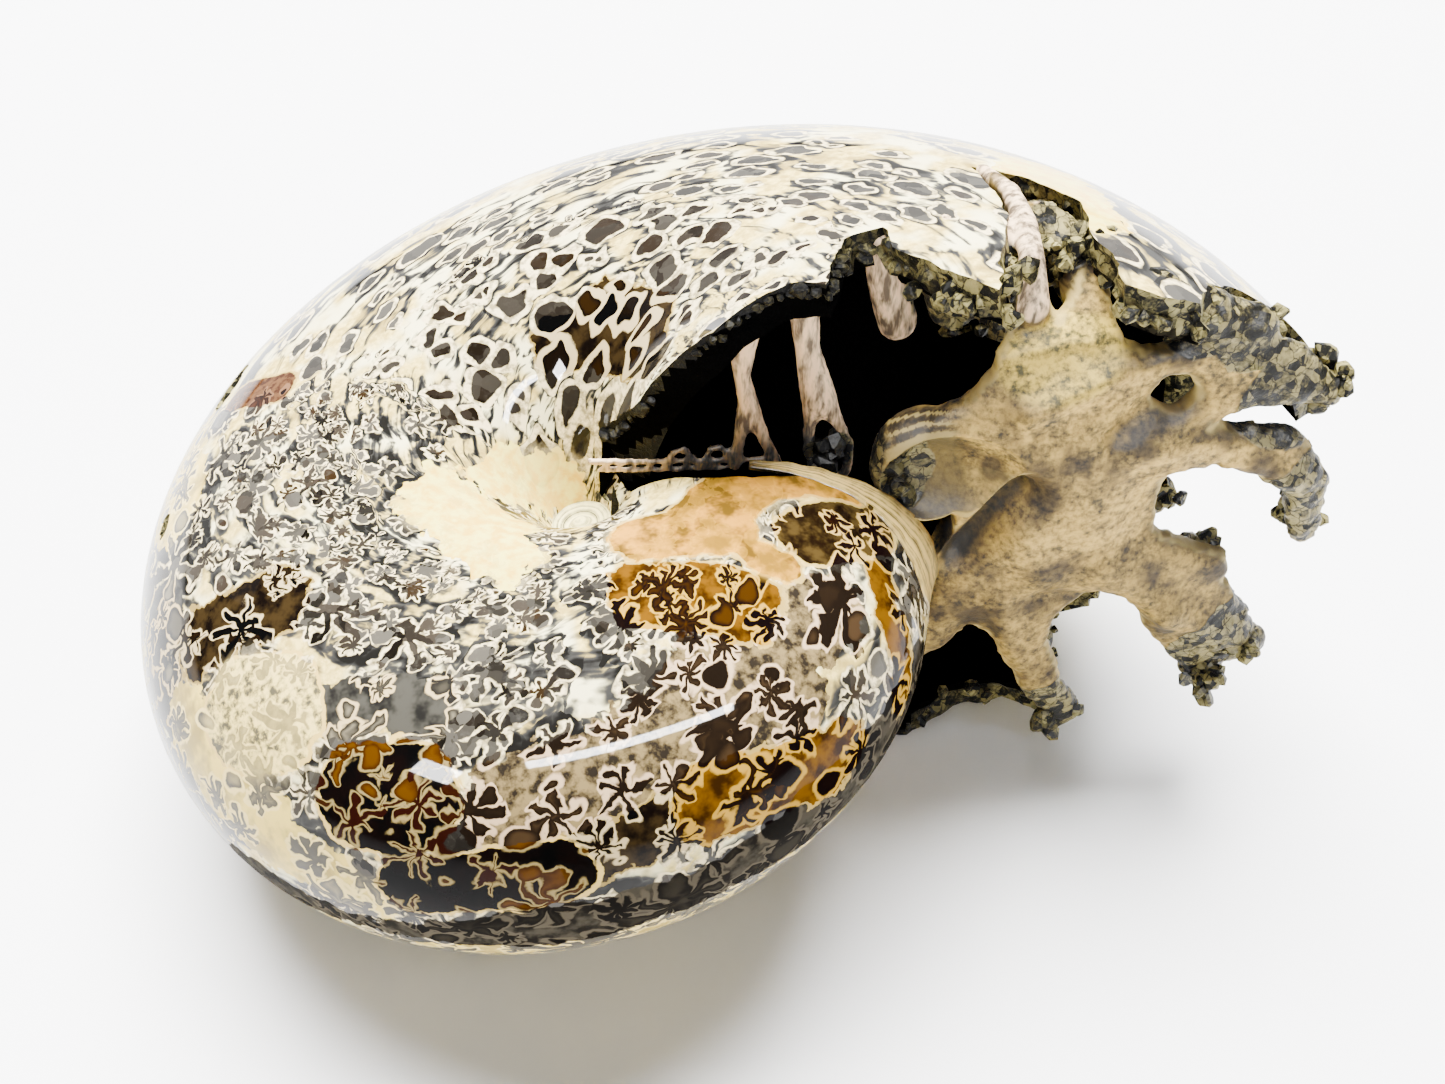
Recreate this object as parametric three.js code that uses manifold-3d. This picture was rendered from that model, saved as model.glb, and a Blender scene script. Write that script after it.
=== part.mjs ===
// A polished fossil ammonite: a disc-shaped coiled shell in stone, polished all over.
// The end of the last turn is broken off. It shows the last partition, with its branching arms,
// the hollow chamber behind it and the smaller turn inside.
// Millimetres, +Z up. The origin is on the surface that it rests on, under the middle of its box.

import * as THREE from 'three';
import { mergeVertices } from 'three/addons/utils/BufferGeometryUtils.js';
import Module from 'manifold-3d';

const wasm = await Module();
wasm.setup();

// Driving dimensions of the coil, in millimetres and degrees.
const COIL_RADIUS = 69; // from the coil's axis to the outer edge, where one whole turn ends
const GROWTH_PER_TURN = 2.275; // how many times larger each turn is than the one before
const HALF_THICKNESS = 0.46; // half the shell's thickness, as a share of the radius
const THICKEST_AT = 0.4; // where the flank is thickest, as a share of the radius
const NAVEL_RADIUS = 0.03; // the open middle, as a share of the radius
const OUTER_ROUNDNESS = 2.15; // 2 is an ellipse, more is squarer
const TURN_START = 12.44; // bearing of the seam where the last turn ends
const WALL = 3.4; // shell wall with its lining of crystal
const CHAMBER_BACK = 314; // how far round the open chamber reaches back
const TURNS_START = -51; // the inner turn is modelled from here, where it is buried
const TURNS_END = 300; // where the hollow last part takes over from the solid turns
const TUBE_END = 372; // a little past the furthest point of the broken edge
const REST_UP = new THREE.Vector3(0.1638, -0.0791, 0.9833); // straight up, seen from the coil
const GROUND_FLAT_DEPTH = 0.6; // how much is ground off below, for the flat that it rests on
const RING_STEP = 9; // degrees from one modelled ring of the coil to the next
const RING_SIDES = 28;
const FLOOR_DROP = 3.5; // how far the chamber's floor lies under the skin of the turn inside

// The last partition. Its points are [distance from the axis, height] in the seam's half plane.
const PARTITION_THICKNESS = 2.6;
const PARTITION_GRID = 2.7; // size of its surface cells
const PARTITION_BULGE = 2.5; // how far its middle stands forward of the seam's half plane
const LEAN_BEGINS = 20; // above this height its arms lean back
const LEAN = 0.62; // how fast they lean back
const WEB = 2.2; // how softly the arms run into each other
const FORWARD_DRIFT = [-0.169, 0.9]; // how an arm moves out and up for each mm that it is forward
const CRYSTAL_SIZE = 2.4;

const RAD = Math.PI / 180;

// Makes the same series of numbers from 0 to 1 each time.
function numberSeries(seed) {
  let state = seed;
  return () => {
    state = (state * 16807) % 2147483647;
    return state / 2147483647;
  };
}

// A closed geometry becomes a solid that can be joined and cut.
function solidOf(geometry) {
  const bare = geometry.clone();
  bare.deleteAttribute('normal');
  bare.deleteAttribute('uv');
  const merged = mergeVertices(bare, 1e-4);
  return new wasm.Manifold(new wasm.Mesh({
    numProp: 3,
    vertProperties: new Float32Array(merged.attributes.position.array),
    triVerts: new Uint32Array(merged.index.array),
  }));
}

// A solid becomes a geometry for the scene.
function geometryOf(solid) {
  const mesh = solid.getMesh();
  const geometry = new THREE.BufferGeometry();
  geometry.setAttribute('position', new THREE.BufferAttribute(new Float32Array(mesh.vertProperties), 3));
  geometry.setIndex(new THREE.BufferAttribute(new Uint32Array(mesh.triVerts), 1));
  return geometry;
}

function indexedGeometry(points, faces) {
  const geometry = new THREE.BufferGeometry();
  const numbers = points.flatMap((p) => [p.x, p.y, p.z]);
  geometry.setAttribute('position', new THREE.Float32BufferAttribute(numbers, 3));
  geometry.setIndex(faces.flat());
  return geometry;
}

function radiusAt(turn) {
  return COIL_RADIUS * GROWTH_PER_TURN ** ((turn - 360) / 360);
}

// A point of the coil's half plane at a given turn. The shell grows clockwise, seen from above.
function placeAt(turn, out, height) {
  const bearing = -(turn + TURN_START) * RAD;
  return new THREE.Vector3(out * Math.cos(bearing), out * Math.sin(bearing), height);
}

// The shell's section. Around 0 is the outer edge, 90 the upper flank and 180 the navel.
function sectionPoint(turn, around, wall) {
  const radius = radiusAt(turn);
  const across = Math.cos(around * RAD);
  const up = Math.sin(around * RAD);
  const bulge = Math.sign(across) * Math.abs(across) ** (2 / OUTER_ROUNDNESS);
  const middle = THICKEST_AT * radius;
  const reach = bulge > 0 ? radius - middle - wall : middle - NAVEL_RADIUS * radius - wall;
  return [middle + bulge * reach, up * (HALF_THICKNESS * radius - wall)];
}

// A solid from rings of points, one after the other, each closed by a fan at its two ends.
function loft(rings) {
  const count = rings[0].length;
  const points = rings.flat();
  const faces = [];
  for (let i = 0; i + 1 < rings.length; i += 1) {
    for (let j = 0; j < count; j += 1) {
      const a = i * count + j;
      const b = i * count + (j + 1) % count;
      faces.push([a, b, a + count], [b, b + count, a + count]);
    }
  }
  const middleOf = (ring) => ring.reduce((sum, p) => sum.add(p), new THREE.Vector3()).divideScalar(count);
  const first = points.push(middleOf(rings[0])) - 1;
  const last = points.push(middleOf(rings[rings.length - 1])) - 1;
  const lastRing = (rings.length - 1) * count;
  for (let j = 0; j < count; j += 1) {
    const next = (j + 1) % count;
    faces.push([first, next, j], [last, lastRing + j, lastRing + next]);
  }
  return solidOf(indexedGeometry(points, faces));
}

// A stretch of the coil, solid, between two turns. The wall is taken off all round.
function coilStretch(from, to, step, sides, wall) {
  const rings = [];
  const steps = Math.ceil((to - from) / step);
  for (let i = 0; i <= steps; i += 1) {
    const turn = from + (to - from) * i / steps;
    const ring = [];
    for (let j = 0; j < sides; j += 1) {
      const [out, height] = sectionPoint(turn, 360 * j / sides, wall);
      ring.push(placeAt(turn, out, height));
    }
    rings.push(ring);
  }
  return loft(rings);
}

// The upright prism over a plan outline, given as [turn, distance from the axis].
function planPrism(outline, low, high) {
  const shape = new THREE.Shape(outline.map(([turn, out]) => {
    const p = placeAt(turn, out, 0);
    return new THREE.Vector2(p.x, p.y);
  }));
  const geometry = new THREE.ExtrudeGeometry(shape, { depth: high - low, bevelEnabled: false });
  geometry.translate(0, 0, low);
  return solidOf(geometry);
}

// The open chamber behind the last partition.
function chamber() {
  return coilStretch(CHAMBER_BACK, TUBE_END + 6, 8, 24, WALL);
}

// The skin of the inner turn that is gone from the chamber's floor, up to the seam.
function sunkenFloor() {
  const core = coilStretch(-60, 34, 8, 20, FLOOR_DROP);
  const skin = coilStretch(-44, 20, 8, 20, -0.4).subtract(core);
  const seam = [
    [-46, 5.5], [5, 5.5], [14, 8.5], [15.5, 12.8], [13, 17], [9.5, 21], [5.5, 25], [3, 28], [2, 34],
    [-46, 34],
  ];
  return skin.intersect(planPrism(seam, -20, 20));
}

// What has broken off the end of the turn, above, below and at the outer edge.
function brokenOff() {
  const above = [
    [309, 3], [316, 5.5], [338, 6.5], [357, 8.2], [369.6, 15.9], [364, 18.7], [362.5, 22.5],
    [366.7, 25.5], [350.6, 27.6], [350.4, 31.2], [358.8, 31.5], [365.9, 35.1], [370.5, 38.8],
    [352, 41.2], [336, 43.6], [347, 47], [355.8, 47.9], [357.1, 51.6], [354.5, 56], [357.5, 59.5],
    [358, 64], [354, 80], [378, 80], [378, 24], [402, 12],
  ];
  const below = [
    [300, 3], [330, 6], [346, 9], [356, 16], [352, 22], [356, 27], [351, 33], [353, 38], [358, 42],
    [350, 46], [350, 80], [378, 80], [378, 24], [402, 12],
  ];
  const lowerFlank = [
    [352, 43.5], [344, 46.5], [346, 50], [339, 54], [343, 59], [338, 63], [342, 66], [340, 80], [378, 80],
    [378, 43.5],
  ];
  const top = planPrism(above, 4.5, 60);
  const bottom = planPrism(below, -60, 4.6);
  const side = planPrism(lowerFlank, -60, 5);
  return top.add(bottom).add(side);
}

// The partition's arms. Each is a line of points [out, height, half width] in the seam's half plane.
const ARMS = [
  [[41, 9, 7.5], [44, 2, 8], [41, -5, 6]],
  [[40.2, 36, 1], [41.6, 28, 0.9], [41.4, 22, 1.9], [41, 15, 3.5]],
  [[46.9, 30.5, 0.8], [46.4, 25, 1.3], [46, 18, 3]],
  [[47, 13, 5], [56, 14.2, 3.4], [62, 13, 3], [66, 10.5, 1.4]],
  [[56, 14, 3.5], [59, 18.5, 2.2]],
  [[49, 8, 3.5], [57, 6.2, 2], [62, 4.3, 2.6], [65, 0, 2.1], [65.3, -6.5, 1.2]],
  [[45, -3, 5], [52, -9, 3.2], [56, -15, 3.8], [61.2, -20.6, 1.9]],
  [[55, -15, 3.4], [57.2, -24, 1.7]],
  [[53, -8, 3], [57, -8.6, 1.6]],
  [[39, -6, 5], [39.6, -16, 2.4], [41.3, -23, 2], [43.4, -27.5, 1.6], [40.8, -29.6, 1]],
  [[36, -5, 4], [31, -12, 2.6], [24, -17, 2]],
  [[37, 10.5, 3], [31.6, 10.5, 3]],
  [[37, 0, 3], [31.5, -1, 1.2]],
];
const SMALL_HOLE = [53.1, 13.1, 1.9];

// Distance from a point to one leg of an arm, less than nothing inside it.
function legDistance(x, y, [ax, ay, aw], [bx, by, bw]) {
  const dx = bx - ax;
  const dy = by - ay;
  const along = THREE.MathUtils.clamp(((x - ax) * dx + (y - ay) * dy) / (dx * dx + dy * dy), 0, 1);
  return Math.hypot(x - ax - along * dx, y - ay - along * dy) - (aw + along * (bw - aw));
}

// Distance from a point to the partition's outline, less than nothing inside it.
function partitionDistance(x, y) {
  let sum = 0;
  for (const arm of ARMS) {
    let nearest = Infinity;
    for (let i = 0; i + 1 < arm.length; i += 1) {
      nearest = Math.min(nearest, legDistance(x, y, arm[i], arm[i + 1]));
    }
    sum += Math.exp(-nearest / WEB * 2);
  }
  const web = -Math.log(sum) * WEB / 2;
  return Math.max(web, SMALL_HOLE[2] - Math.hypot(x - SMALL_HOLE[0], y - SMALL_HOLE[1]));
}

// How far forward the partition stands at a point of the seam's half plane.
function partitionForward(x, y) {
  const lean = LEAN * Math.max(0, y - LEAN_BEGINS);
  const outward = Math.hypot(x - 43, (y - 3) * 0.7);
  return PARTITION_BULGE - 0.004 * outward * outward - lean;
}

// Puts a point of the partition in place. Forward is the way the shell grows.
function partitionPlace(x, y, back) {
  const forward = partitionForward(x, y);
  const out = x + FORWARD_DRIFT[0] * forward;
  const height = y + FORWARD_DRIFT[1] * forward;
  const p = placeAt(360, out, height);
  const bearing = -(360 + TURN_START) * RAD;
  const ahead = new THREE.Vector3(Math.sin(bearing), -Math.cos(bearing), 0);
  return p.addScaledVector(ahead, forward - back);
}

// The partition: a sheet over a grid, cut along its outline, thinner towards its rim.
function partition() {
  const points = [];
  const faces = [];
  const known = new Map();
  const low = [20, -36];
  const high = [72, 40];
  const columns = Math.ceil((high[0] - low[0]) / PARTITION_GRID);
  const rows = Math.ceil((high[1] - low[1]) / PARTITION_GRID);
  const corner = (i, j) => {
    const x = low[0] + i * PARTITION_GRID;
    const y = low[1] + j * PARTITION_GRID;
    return { key: `${i},${j}`, x, y, d: partitionDistance(x, y) };
  };
  const vertex = (key, x, y, depth) => {
    if (!known.has(key)) {
      const half = PARTITION_THICKNESS * (0.3 + 0.7 * Math.min(1, depth / 3)) / 2;
      points.push(partitionPlace(x, y, -half), partitionPlace(x, y, half));
      known.set(key, points.length - 2);
    }
    return known.get(key);
  };
  const inside = (c) => vertex(c.key, c.x, c.y, -c.d);
  const crossing = (c, e) => {
    const key = [c.key, e.key].sort().join(':');
    const s = THREE.MathUtils.clamp(c.d / (c.d - e.d), 0.06, 0.94);
    return vertex(key, c.x + s * (e.x - c.x), c.y + s * (e.y - c.y), 0);
  };
  const face = (a, b, c) => faces.push([a, b, c], [a + 1, c + 1, b + 1]);
  const rim = (a, b) => faces.push([a, a + 1, b], [b, a + 1, b + 1]);
  const triangle = (corners) => {
    const within = corners.map((c) => c.d < 0);
    const count = within.filter(Boolean).length;
    if (count === 3) {
      face(...corners.map(inside));
    } else if (count > 0) {
      const odd = within.findIndex((w) => w === (count === 1));
      const [a, b, c] = [0, 1, 2].map((k) => corners[(odd + k) % 3]);
      const ab = crossing(a, b);
      const ac = crossing(a, c);
      if (count === 1) {
        face(inside(a), ab, ac);
        rim(ab, ac);
      } else {
        face(ab, inside(b), inside(c));
        face(ab, inside(c), ac);
        rim(ac, ab);
      }
    }
  };
  for (let i = 0; i < columns; i += 1) {
    for (let j = 0; j < rows; j += 1) {
      const cell = [corner(i, j), corner(i + 1, j), corner(i + 1, j + 1), corner(i, j + 1)];
      triangle([cell[0], cell[1], cell[2]]);
      triangle([cell[0], cell[2], cell[3]]);
    }
  }
  return solidOf(indexedGeometry(points, faces));
}

// An upright strut of the partition, between the inner turn and the flank, narrow at its waist.
function strut([turn, out], low, high, foot, waist, head) {
  const profile = [
    [0, low], [foot, low], [foot * 0.55, low + (high - low) * 0.22], [waist, low + (high - low) * 0.5],
    [head * 0.6, low + (high - low) * 0.78], [head, high], [0, high],
  ];
  const lathe = new THREE.LatheGeometry(profile.map(([r, z]) => new THREE.Vector2(r, z)), 9);
  lathe.rotateX(Math.PI / 2);
  lathe.scale(1, 0.75, 1);
  const foothold = placeAt(turn, out, 0);
  lathe.rotateZ(-(turn + TURN_START) * RAD);
  lathe.translate(foothold.x, foothold.y, 0);
  return solidOf(lathe);
}

// The struts that stand over the inner turn, and the same below it.
function struts() {
  const upper = [
    strut([357.5, 18.2], 12, 29.5, 2.8, 1.1, 3.2),
    strut([355.5, 23.4], 10, 30.5, 3, 1.6, 3.6),
    strut([347, 31.6], 19, 31, 1.5, 1.7, 2.4),
  ];
  const lower = [
    strut([356, 19], -29.5, -11, 3, 1.3, 2.8),
    strut([353, 25], -30, -8, 3.4, 1.6, 3),
  ];
  return [...upper, ...lower];
}

// The ear: the cupped lobe that joins the partition to the inner turn, above and below.
function ear(side) {
  const bowl = new THREE.SphereGeometry(1, 14, 9);
  bowl.scale(5.2, 3.2, 6.2);
  const scoop = new THREE.SphereGeometry(1, 12, 8);
  scoop.scale(4.2, 3.4, 5.2);
  scoop.translate(0.5, -2.2, 0);
  const cup = solidOf(bowl).subtract(solidOf(scoop));
  const place = placeAt(360, 31.5, 10 * side);
  const bearing = -(360 + TURN_START);
  return cup.rotate([0, 0, bearing]).translate([place.x, place.y, place.z]);
}

// Blunt crystals in a cluster round a point, joined to what carries them.
function crystals([turn, out, height], reach, count, random) {
  const cluster = [];
  for (let i = 0; i < count; i += 1) {
    const size = CRYSTAL_SIZE * (0.7 + 0.6 * random());
    const crystal = new THREE.BoxGeometry(size, size * 0.8, size * 1.2);
    crystal.applyMatrix4(new THREE.Matrix4().makeShear(0, 0.25, 0, 0, 0.3, 0));
    crystal.rotateX(random() * 6);
    crystal.rotateZ(random() * 6);
    const place = placeAt(turn, out, height);
    const shift = () => (random() * 2 - 1) * reach;
    crystal.translate(place.x + shift(), place.y + shift(), place.z + shift());
    cluster.push(solidOf(crystal));
  }
  return cluster;
}

// The crystals at the ragged ends of the arms and on the broken wall.
function allCrystals() {
  const random = numberSeries(41);
  const arms = [
    [359, 65, 11], [359, 58.5, 18], [359, 64.5, 1], [359, 65, -5], [361, 60, -19], [362, 57, -22.5],
    [360, 57, -13], [360.5, 43, -26.5], [360, 56.5, -6.5],
  ];
  const wall = [
    [366, 18, 27.8], [361, 23, 28.8], [357, 33, 28.6], [366, 37, 28.4], [345, 46.6, 25], [353, 50, 23.5],
    [353, 56, 20.5], [340, 48.5, -23.5], [340, 60, -13], [352, 40, -27.4],
  ];
  return [
    ...arms.flatMap((place) => crystals(place, 1.6, 3, random)),
    ...wall.flatMap((place) => crystals(place, 1.6, 2, random)),
  ];
}

// The plug of stone in the navel, dished at both ends.
function navel() {
  const profile = [
    [0, -7.6], [2.2, -8], [4.2, -9.4], [5.4, -11], [5.4, 11], [4.2, 9.4], [2.2, 8], [0, 7.6],
  ];
  const lathe = new THREE.LatheGeometry(profile.map(([r, z]) => new THREE.Vector2(r, z)), 20);
  lathe.rotateX(Math.PI / 2);
  return solidOf(lathe);
}

// Shallow pits in the polished flank, where softer mineral has come away.
function pits() {
  const scoop = (turn, around, length, width, depth) => {
    const [out, height] = sectionPoint(turn, around, 0);
    const place = placeAt(turn, out, height);
    const ball = new THREE.SphereGeometry(1, 8, 5);
    ball.scale(width / 2, length / 2, depth);
    ball.rotateZ(-(turn + TURN_START) * RAD);
    ball.translate(place.x, place.y, place.z);
    return solidOf(ball);
  };
  return [scoop(208, 50, 7.5, 5, 0.9), scoop(183, 42, 3, 2.4, 0.8)];
}

// A wide slab with its top at the given height, for what is ground off below.
function slabBelow(top) {
  const slab = new THREE.BoxGeometry(400, 400, 100);
  slab.translate(0, 0, top - 50);
  return solidOf(slab);
}

// The whole fossil in one piece, standing as it rests.
function ammonite() {
  const joined = (first, others) => others.reduce((sum, other) => sum.add(other), first);
  const tube = coilStretch(TURNS_END - RING_STEP, TUBE_END, RING_STEP, RING_SIDES, 0).subtract(chamber());
  const turns = coilStretch(TURNS_START, TURNS_END, RING_STEP, RING_SIDES, 0).subtract(sunkenFloor());
  let solid = tube.subtract(brokenOff()).add(turns).add(navel()).add(partition());
  solid = joined(solid, [...struts(), ear(1), ear(-1), ...allCrystals()]);
  for (const pit of pits()) {
    solid = solid.subtract(pit);
  }
  const largest = solid.decompose().sort((a, b) => b.volume() - a.volume())[0];
  const geometry = geometryOf(largest);
  const upright = new THREE.Quaternion();
  upright.setFromUnitVectors(REST_UP.clone().normalize(), new THREE.Vector3(0, 0, 1));
  geometry.applyQuaternion(upright);
  geometry.computeBoundingBox();
  const flat = geometry.boundingBox.min.z + GROUND_FLAT_DEPTH;
  const ground = geometryOf(solidOf(geometry).subtract(slabBelow(flat)));
  ground.computeBoundingBox();
  const { min, max } = ground.boundingBox;
  ground.translate(-(min.x + max.x) / 2, -(min.y + max.y) / 2, -min.z);
  ground.computeVertexNormals();
  return ground;
}

const stone = new THREE.MeshStandardMaterial({ color: 0xcfc3a4, roughness: 0.2, metalness: 0 });
const mesh = new THREE.Mesh(ammonite(), stone);
mesh.name = 'ammonite';

const group = new THREE.Group();
group.add(mesh);

export default group;
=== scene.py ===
"""A polished fossil ammonite with a broken end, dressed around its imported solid.

The shell is a coil whose section grows by the same factor each turn. Its skin is ground and
polished, so the sutures of its filled chambers show as leaf-shaped loops. The end of the last
turn is broken: it bares the last partition with its branching arms, the dark chamber behind it
and the struts that stand on the turn inside. Lengths are in millimetres in the coil's own frame
until a mesh is finished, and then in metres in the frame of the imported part.
"""

import logging
import math
import random
from dataclasses import dataclass
from enum import Enum

import bmesh
import bpy
import numpy as np
from bmesh.types import BMEdge, BMesh, BMFace, BMVert
from bpy.types import Material, Mesh, Node, NodeSocket, NodeTree, Object
from mathutils import Matrix, Vector, noise


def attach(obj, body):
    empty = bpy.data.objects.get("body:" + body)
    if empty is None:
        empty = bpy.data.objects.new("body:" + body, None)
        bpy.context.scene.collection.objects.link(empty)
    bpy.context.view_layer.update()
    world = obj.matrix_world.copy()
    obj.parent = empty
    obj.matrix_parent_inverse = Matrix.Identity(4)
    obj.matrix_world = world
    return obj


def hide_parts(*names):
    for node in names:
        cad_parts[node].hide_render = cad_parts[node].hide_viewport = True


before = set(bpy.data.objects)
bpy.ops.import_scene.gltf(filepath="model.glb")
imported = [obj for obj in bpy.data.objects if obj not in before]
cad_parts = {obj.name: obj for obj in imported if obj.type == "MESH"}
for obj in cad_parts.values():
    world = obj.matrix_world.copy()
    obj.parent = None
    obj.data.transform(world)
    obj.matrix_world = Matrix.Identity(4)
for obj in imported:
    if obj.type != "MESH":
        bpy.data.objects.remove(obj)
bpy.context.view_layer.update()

LOG = logging.getLogger("ammonite")
NODE = "ammonite"
BODY = "root"
MM = 0.001
PHOTO_WIDTH = 1445
PHOTO_HEIGHT = 1084
FAR = 1e9

# How the screen's view bends light, and how it parts and mixes the three colours.
WHITEST = 0.88
VIEW_MIDDLE = 0.224
VIEW_POWER = 1.228
VIEW_PARTING = 1.31
VIEW_MIXING = 0.73


class Join(Enum):
    """How one closed mesh is put together with another."""

    CUT = "DIFFERENCE"
    ADD = "UNION"
    KEEP = "INTERSECT"


class Surface(Enum):
    """The kinds of face on the shell, in the order of its material slots."""

    POLISHED = 0
    CAVERN = 1
    BROKEN = 2


@dataclass(frozen=True)
class Coil:
    """The form of the coiled shell.

    A place on it is given by its turn in degrees, which grows towards the mouth, its distance
    out from the axis and its height above the middle plane, both in millimetres.
    """

    radius: float = 69.0
    growth: float = 2.275
    half_thickness: float = 0.46
    thickest_at: float = 0.4
    navel_radius: float = 0.03
    outer_roundness: float = 2.15
    start_bearing: float = 12.44
    rest_up: tuple[float, float, float] = (0.1638, -0.0791, 0.9833)
    middle: tuple[float, float, float] = (-11.5185, -9.2568, 26.1368)

    def radius_at(self, turn: float | np.ndarray) -> float | np.ndarray:
        """Gives the distance from the axis to the keel at a turn."""
        return self.radius * self.growth ** ((turn - 360.0) / 360.0)

    def place(self, turn: float, out: float, height: float) -> Vector:
        """Gives the point at a turn, a distance out and a height, in the coil's frame."""
        bearing = -math.radians(turn + self.start_bearing)
        return Vector((out * math.cos(bearing), out * math.sin(bearing), height))

    def section(self, turn: float, around: float, wall: float = 0.0) -> tuple[float, float]:
        """Gives a point of the section, under the skin by the wall.

        Args:
            turn: The turn in degrees.
            around: The angle round the section, 0 at the keel, 90 on the upper flank.
            wall: How far under the skin the point lies.

        Returns:
            The distance out from the axis, and the height.
        """
        radius = self.radius_at(turn)
        across = math.cos(math.radians(around))
        bulge = math.copysign(abs(across) ** (2.0 / self.outer_roundness), across)
        middle = self.thickest_at * radius
        inner_edge = self.navel_radius * radius
        reach = (radius - middle if bulge > 0.0 else middle - inner_edge) - wall
        height = math.sin(math.radians(around)) * (self.half_thickness * radius - wall)
        return middle + bulge * reach, height

    def skin(self, turn: float, around: float, wall: float = 0.0) -> Vector:
        """Gives the point of the skin at a turn and an angle round the section."""
        return self.place(turn, *self.section(turn, around, wall))

    def to_part(self) -> Matrix:
        """Gives the matrix from the coil's frame in millimetres to the part's in metres.

        Returns:
            The matrix.
        """
        upright = Vector(self.rest_up).rotation_difference(Vector((0.0, 0.0, 1.0)))
        shift = Matrix.Translation(Vector(self.middle))
        return Matrix.Scale(MM, 4) @ shift @ upright.to_matrix().to_4x4()


@dataclass(frozen=True)
class SkinMap:
    """Unrolls the coil's skin to a flat map in millimetres, for the patterns on it."""

    coil: Coil
    last_turn: float = 373.0
    half_width: float = 0.45
    map_radius: float = 0.65
    smallest_out: float = 0.3

    def section_lengths(self) -> tuple[np.ndarray, np.ndarray]:
        """Gives the length along the section from the keel, for a keel at radius 1.

        Returns:
            The angles round the section from 0 to 180, and the length up to each.
        """
        angles = np.linspace(0.0, 180.0, 361)
        scale = self.coil.radius
        points = np.array([self.coil.section(360.0, a) for a in angles]) / scale
        steps = np.hypot(*np.diff(points, axis=0).T)
        steps *= self.scale_at((points[1:, 0] + points[:-1, 0]) / 2.0)
        return angles, np.concatenate([[0.0], np.cumsum(steps)])

    def scale_at(self, out: float | np.ndarray) -> float | np.ndarray:
        """Gives the map's scale at a distance out, for a keel at radius 1."""
        return self.map_radius / np.maximum(out, self.smallest_out)

    def along(self, turn: float | np.ndarray) -> float | np.ndarray:
        """Gives the map's first coordinate: the length along the coil up to a turn."""
        rate = math.log(self.coil.growth) / (2.0 * math.pi)
        return self.map_radius * self.coil.radius_at(turn) / rate

    def bearing(self, points: np.ndarray) -> np.ndarray:
        """Gives the turn of points, from 0 to 360, whichever turn they lie on."""
        degrees = np.degrees(np.arctan2(points[:, 1], points[:, 0]))
        return np.mod(-degrees - self.coil.start_bearing, 360.0)

    def level(self, points: np.ndarray, turn: np.ndarray) -> tuple[np.ndarray, np.ndarray]:
        """Finds where points lie round the section of a turn.

        Args:
            points: Points in the coil's frame, one row each.
            turn: The turn that each is held against.

        Returns:
            The angle round the section, and the level, which is 1 on the skin.
        """
        coil = self.coil
        out = np.hypot(points[:, 0], points[:, 1])
        radius = coil.radius_at(turn)
        middle = coil.thickest_at * radius
        inner = middle - coil.navel_radius * radius
        across = (out - middle) / np.where(out > middle, radius - middle, inner)
        cosine = np.sign(across) * np.abs(across) ** (coil.outer_roundness / 2.0)
        sine = points[:, 2] / (coil.half_thickness * radius)
        return np.degrees(np.arctan2(sine, cosine)), np.hypot(cosine, sine)

    def nearest_turn(self, points: np.ndarray) -> tuple[np.ndarray, np.ndarray]:
        """Finds the turn whose skin is nearest to points.

        Args:
            points: Points in the coil's frame, one row each.

        Returns:
            The turns, and how far each point lies outside the skin, about, in millimetres.
        """
        base = self.bearing(points)
        best = np.full(len(points), FAR)
        turns = base.copy()
        for whorl in (0, 1, -1):
            turn = base + 360.0 * whorl
            outside = (self.level(points, turn)[1] - 1.0)
            outside *= self.half_width * self.coil.radius_at(turn)
            better = (np.abs(outside) < np.abs(best)) & (turn < self.last_turn)
            best = np.where(better, outside, best)
            turns = np.where(better, turn, turns)
        return turns, best

    def unroll(self, points: np.ndarray, near: np.ndarray, side: np.ndarray) -> np.ndarray:
        """Gives the places on the flat map of points of the skin.

        Args:
            points: Points in the coil's frame, one row each.
            near: A turn close to each point's, on the same whorl.
            side: 1 for a point of the upper flank and -1 for one of the lower.

        Returns:
            For each point how far it is along the coil and across it, and its turn.
        """
        turn = near + np.mod(self.bearing(points) - near + 180.0, 360.0) - 180.0
        around = self.level(points, turn)[0]
        angles, lengths = self.section_lengths()
        across = np.interp(np.abs(around), angles, lengths) * self.coil.radius_at(turn)
        sign = np.where(np.abs(around) > 90.0, side, np.sign(around))
        return np.stack([self.along(turn), sign * across, turn], axis=1)

    def normals(self, points: np.ndarray, near: np.ndarray) -> np.ndarray:
        """Gives the directions in which the skin faces at points.

        Args:
            points: Points in the coil's frame, one row each.
            near: A turn close to each point's, on the same whorl.

        Returns:
            The directions, one row each.
        """
        nudge = 1e-3
        slope = np.zeros_like(points)
        for axis in range(3):
            step = np.zeros(3)
            step[axis] = nudge
            sides = []
            for moved in (points + step, points - step):
                turn = near + np.mod(self.bearing(moved) - near + 180.0, 360.0) - 180.0
                sides.append(self.level(moved, turn)[1])
            slope[:, axis] = sides[0] - sides[1]
        return slope / np.linalg.norm(slope, axis=1)[:, None]


COIL = Coil()
SKIN_MAP = SkinMap(COIL)


def new_object(name: str, shape: BMesh) -> Object:
    """Makes an object from a bmesh, which is freed.

    Args:
        name: The object's name.
        shape: Its form.

    Returns:
        The object.
    """
    mesh = bpy.data.meshes.new(name)
    shape.to_mesh(mesh)
    shape.free()
    made = bpy.data.objects.new(name, mesh)
    bpy.context.scene.collection.objects.link(made)
    return made


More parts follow.
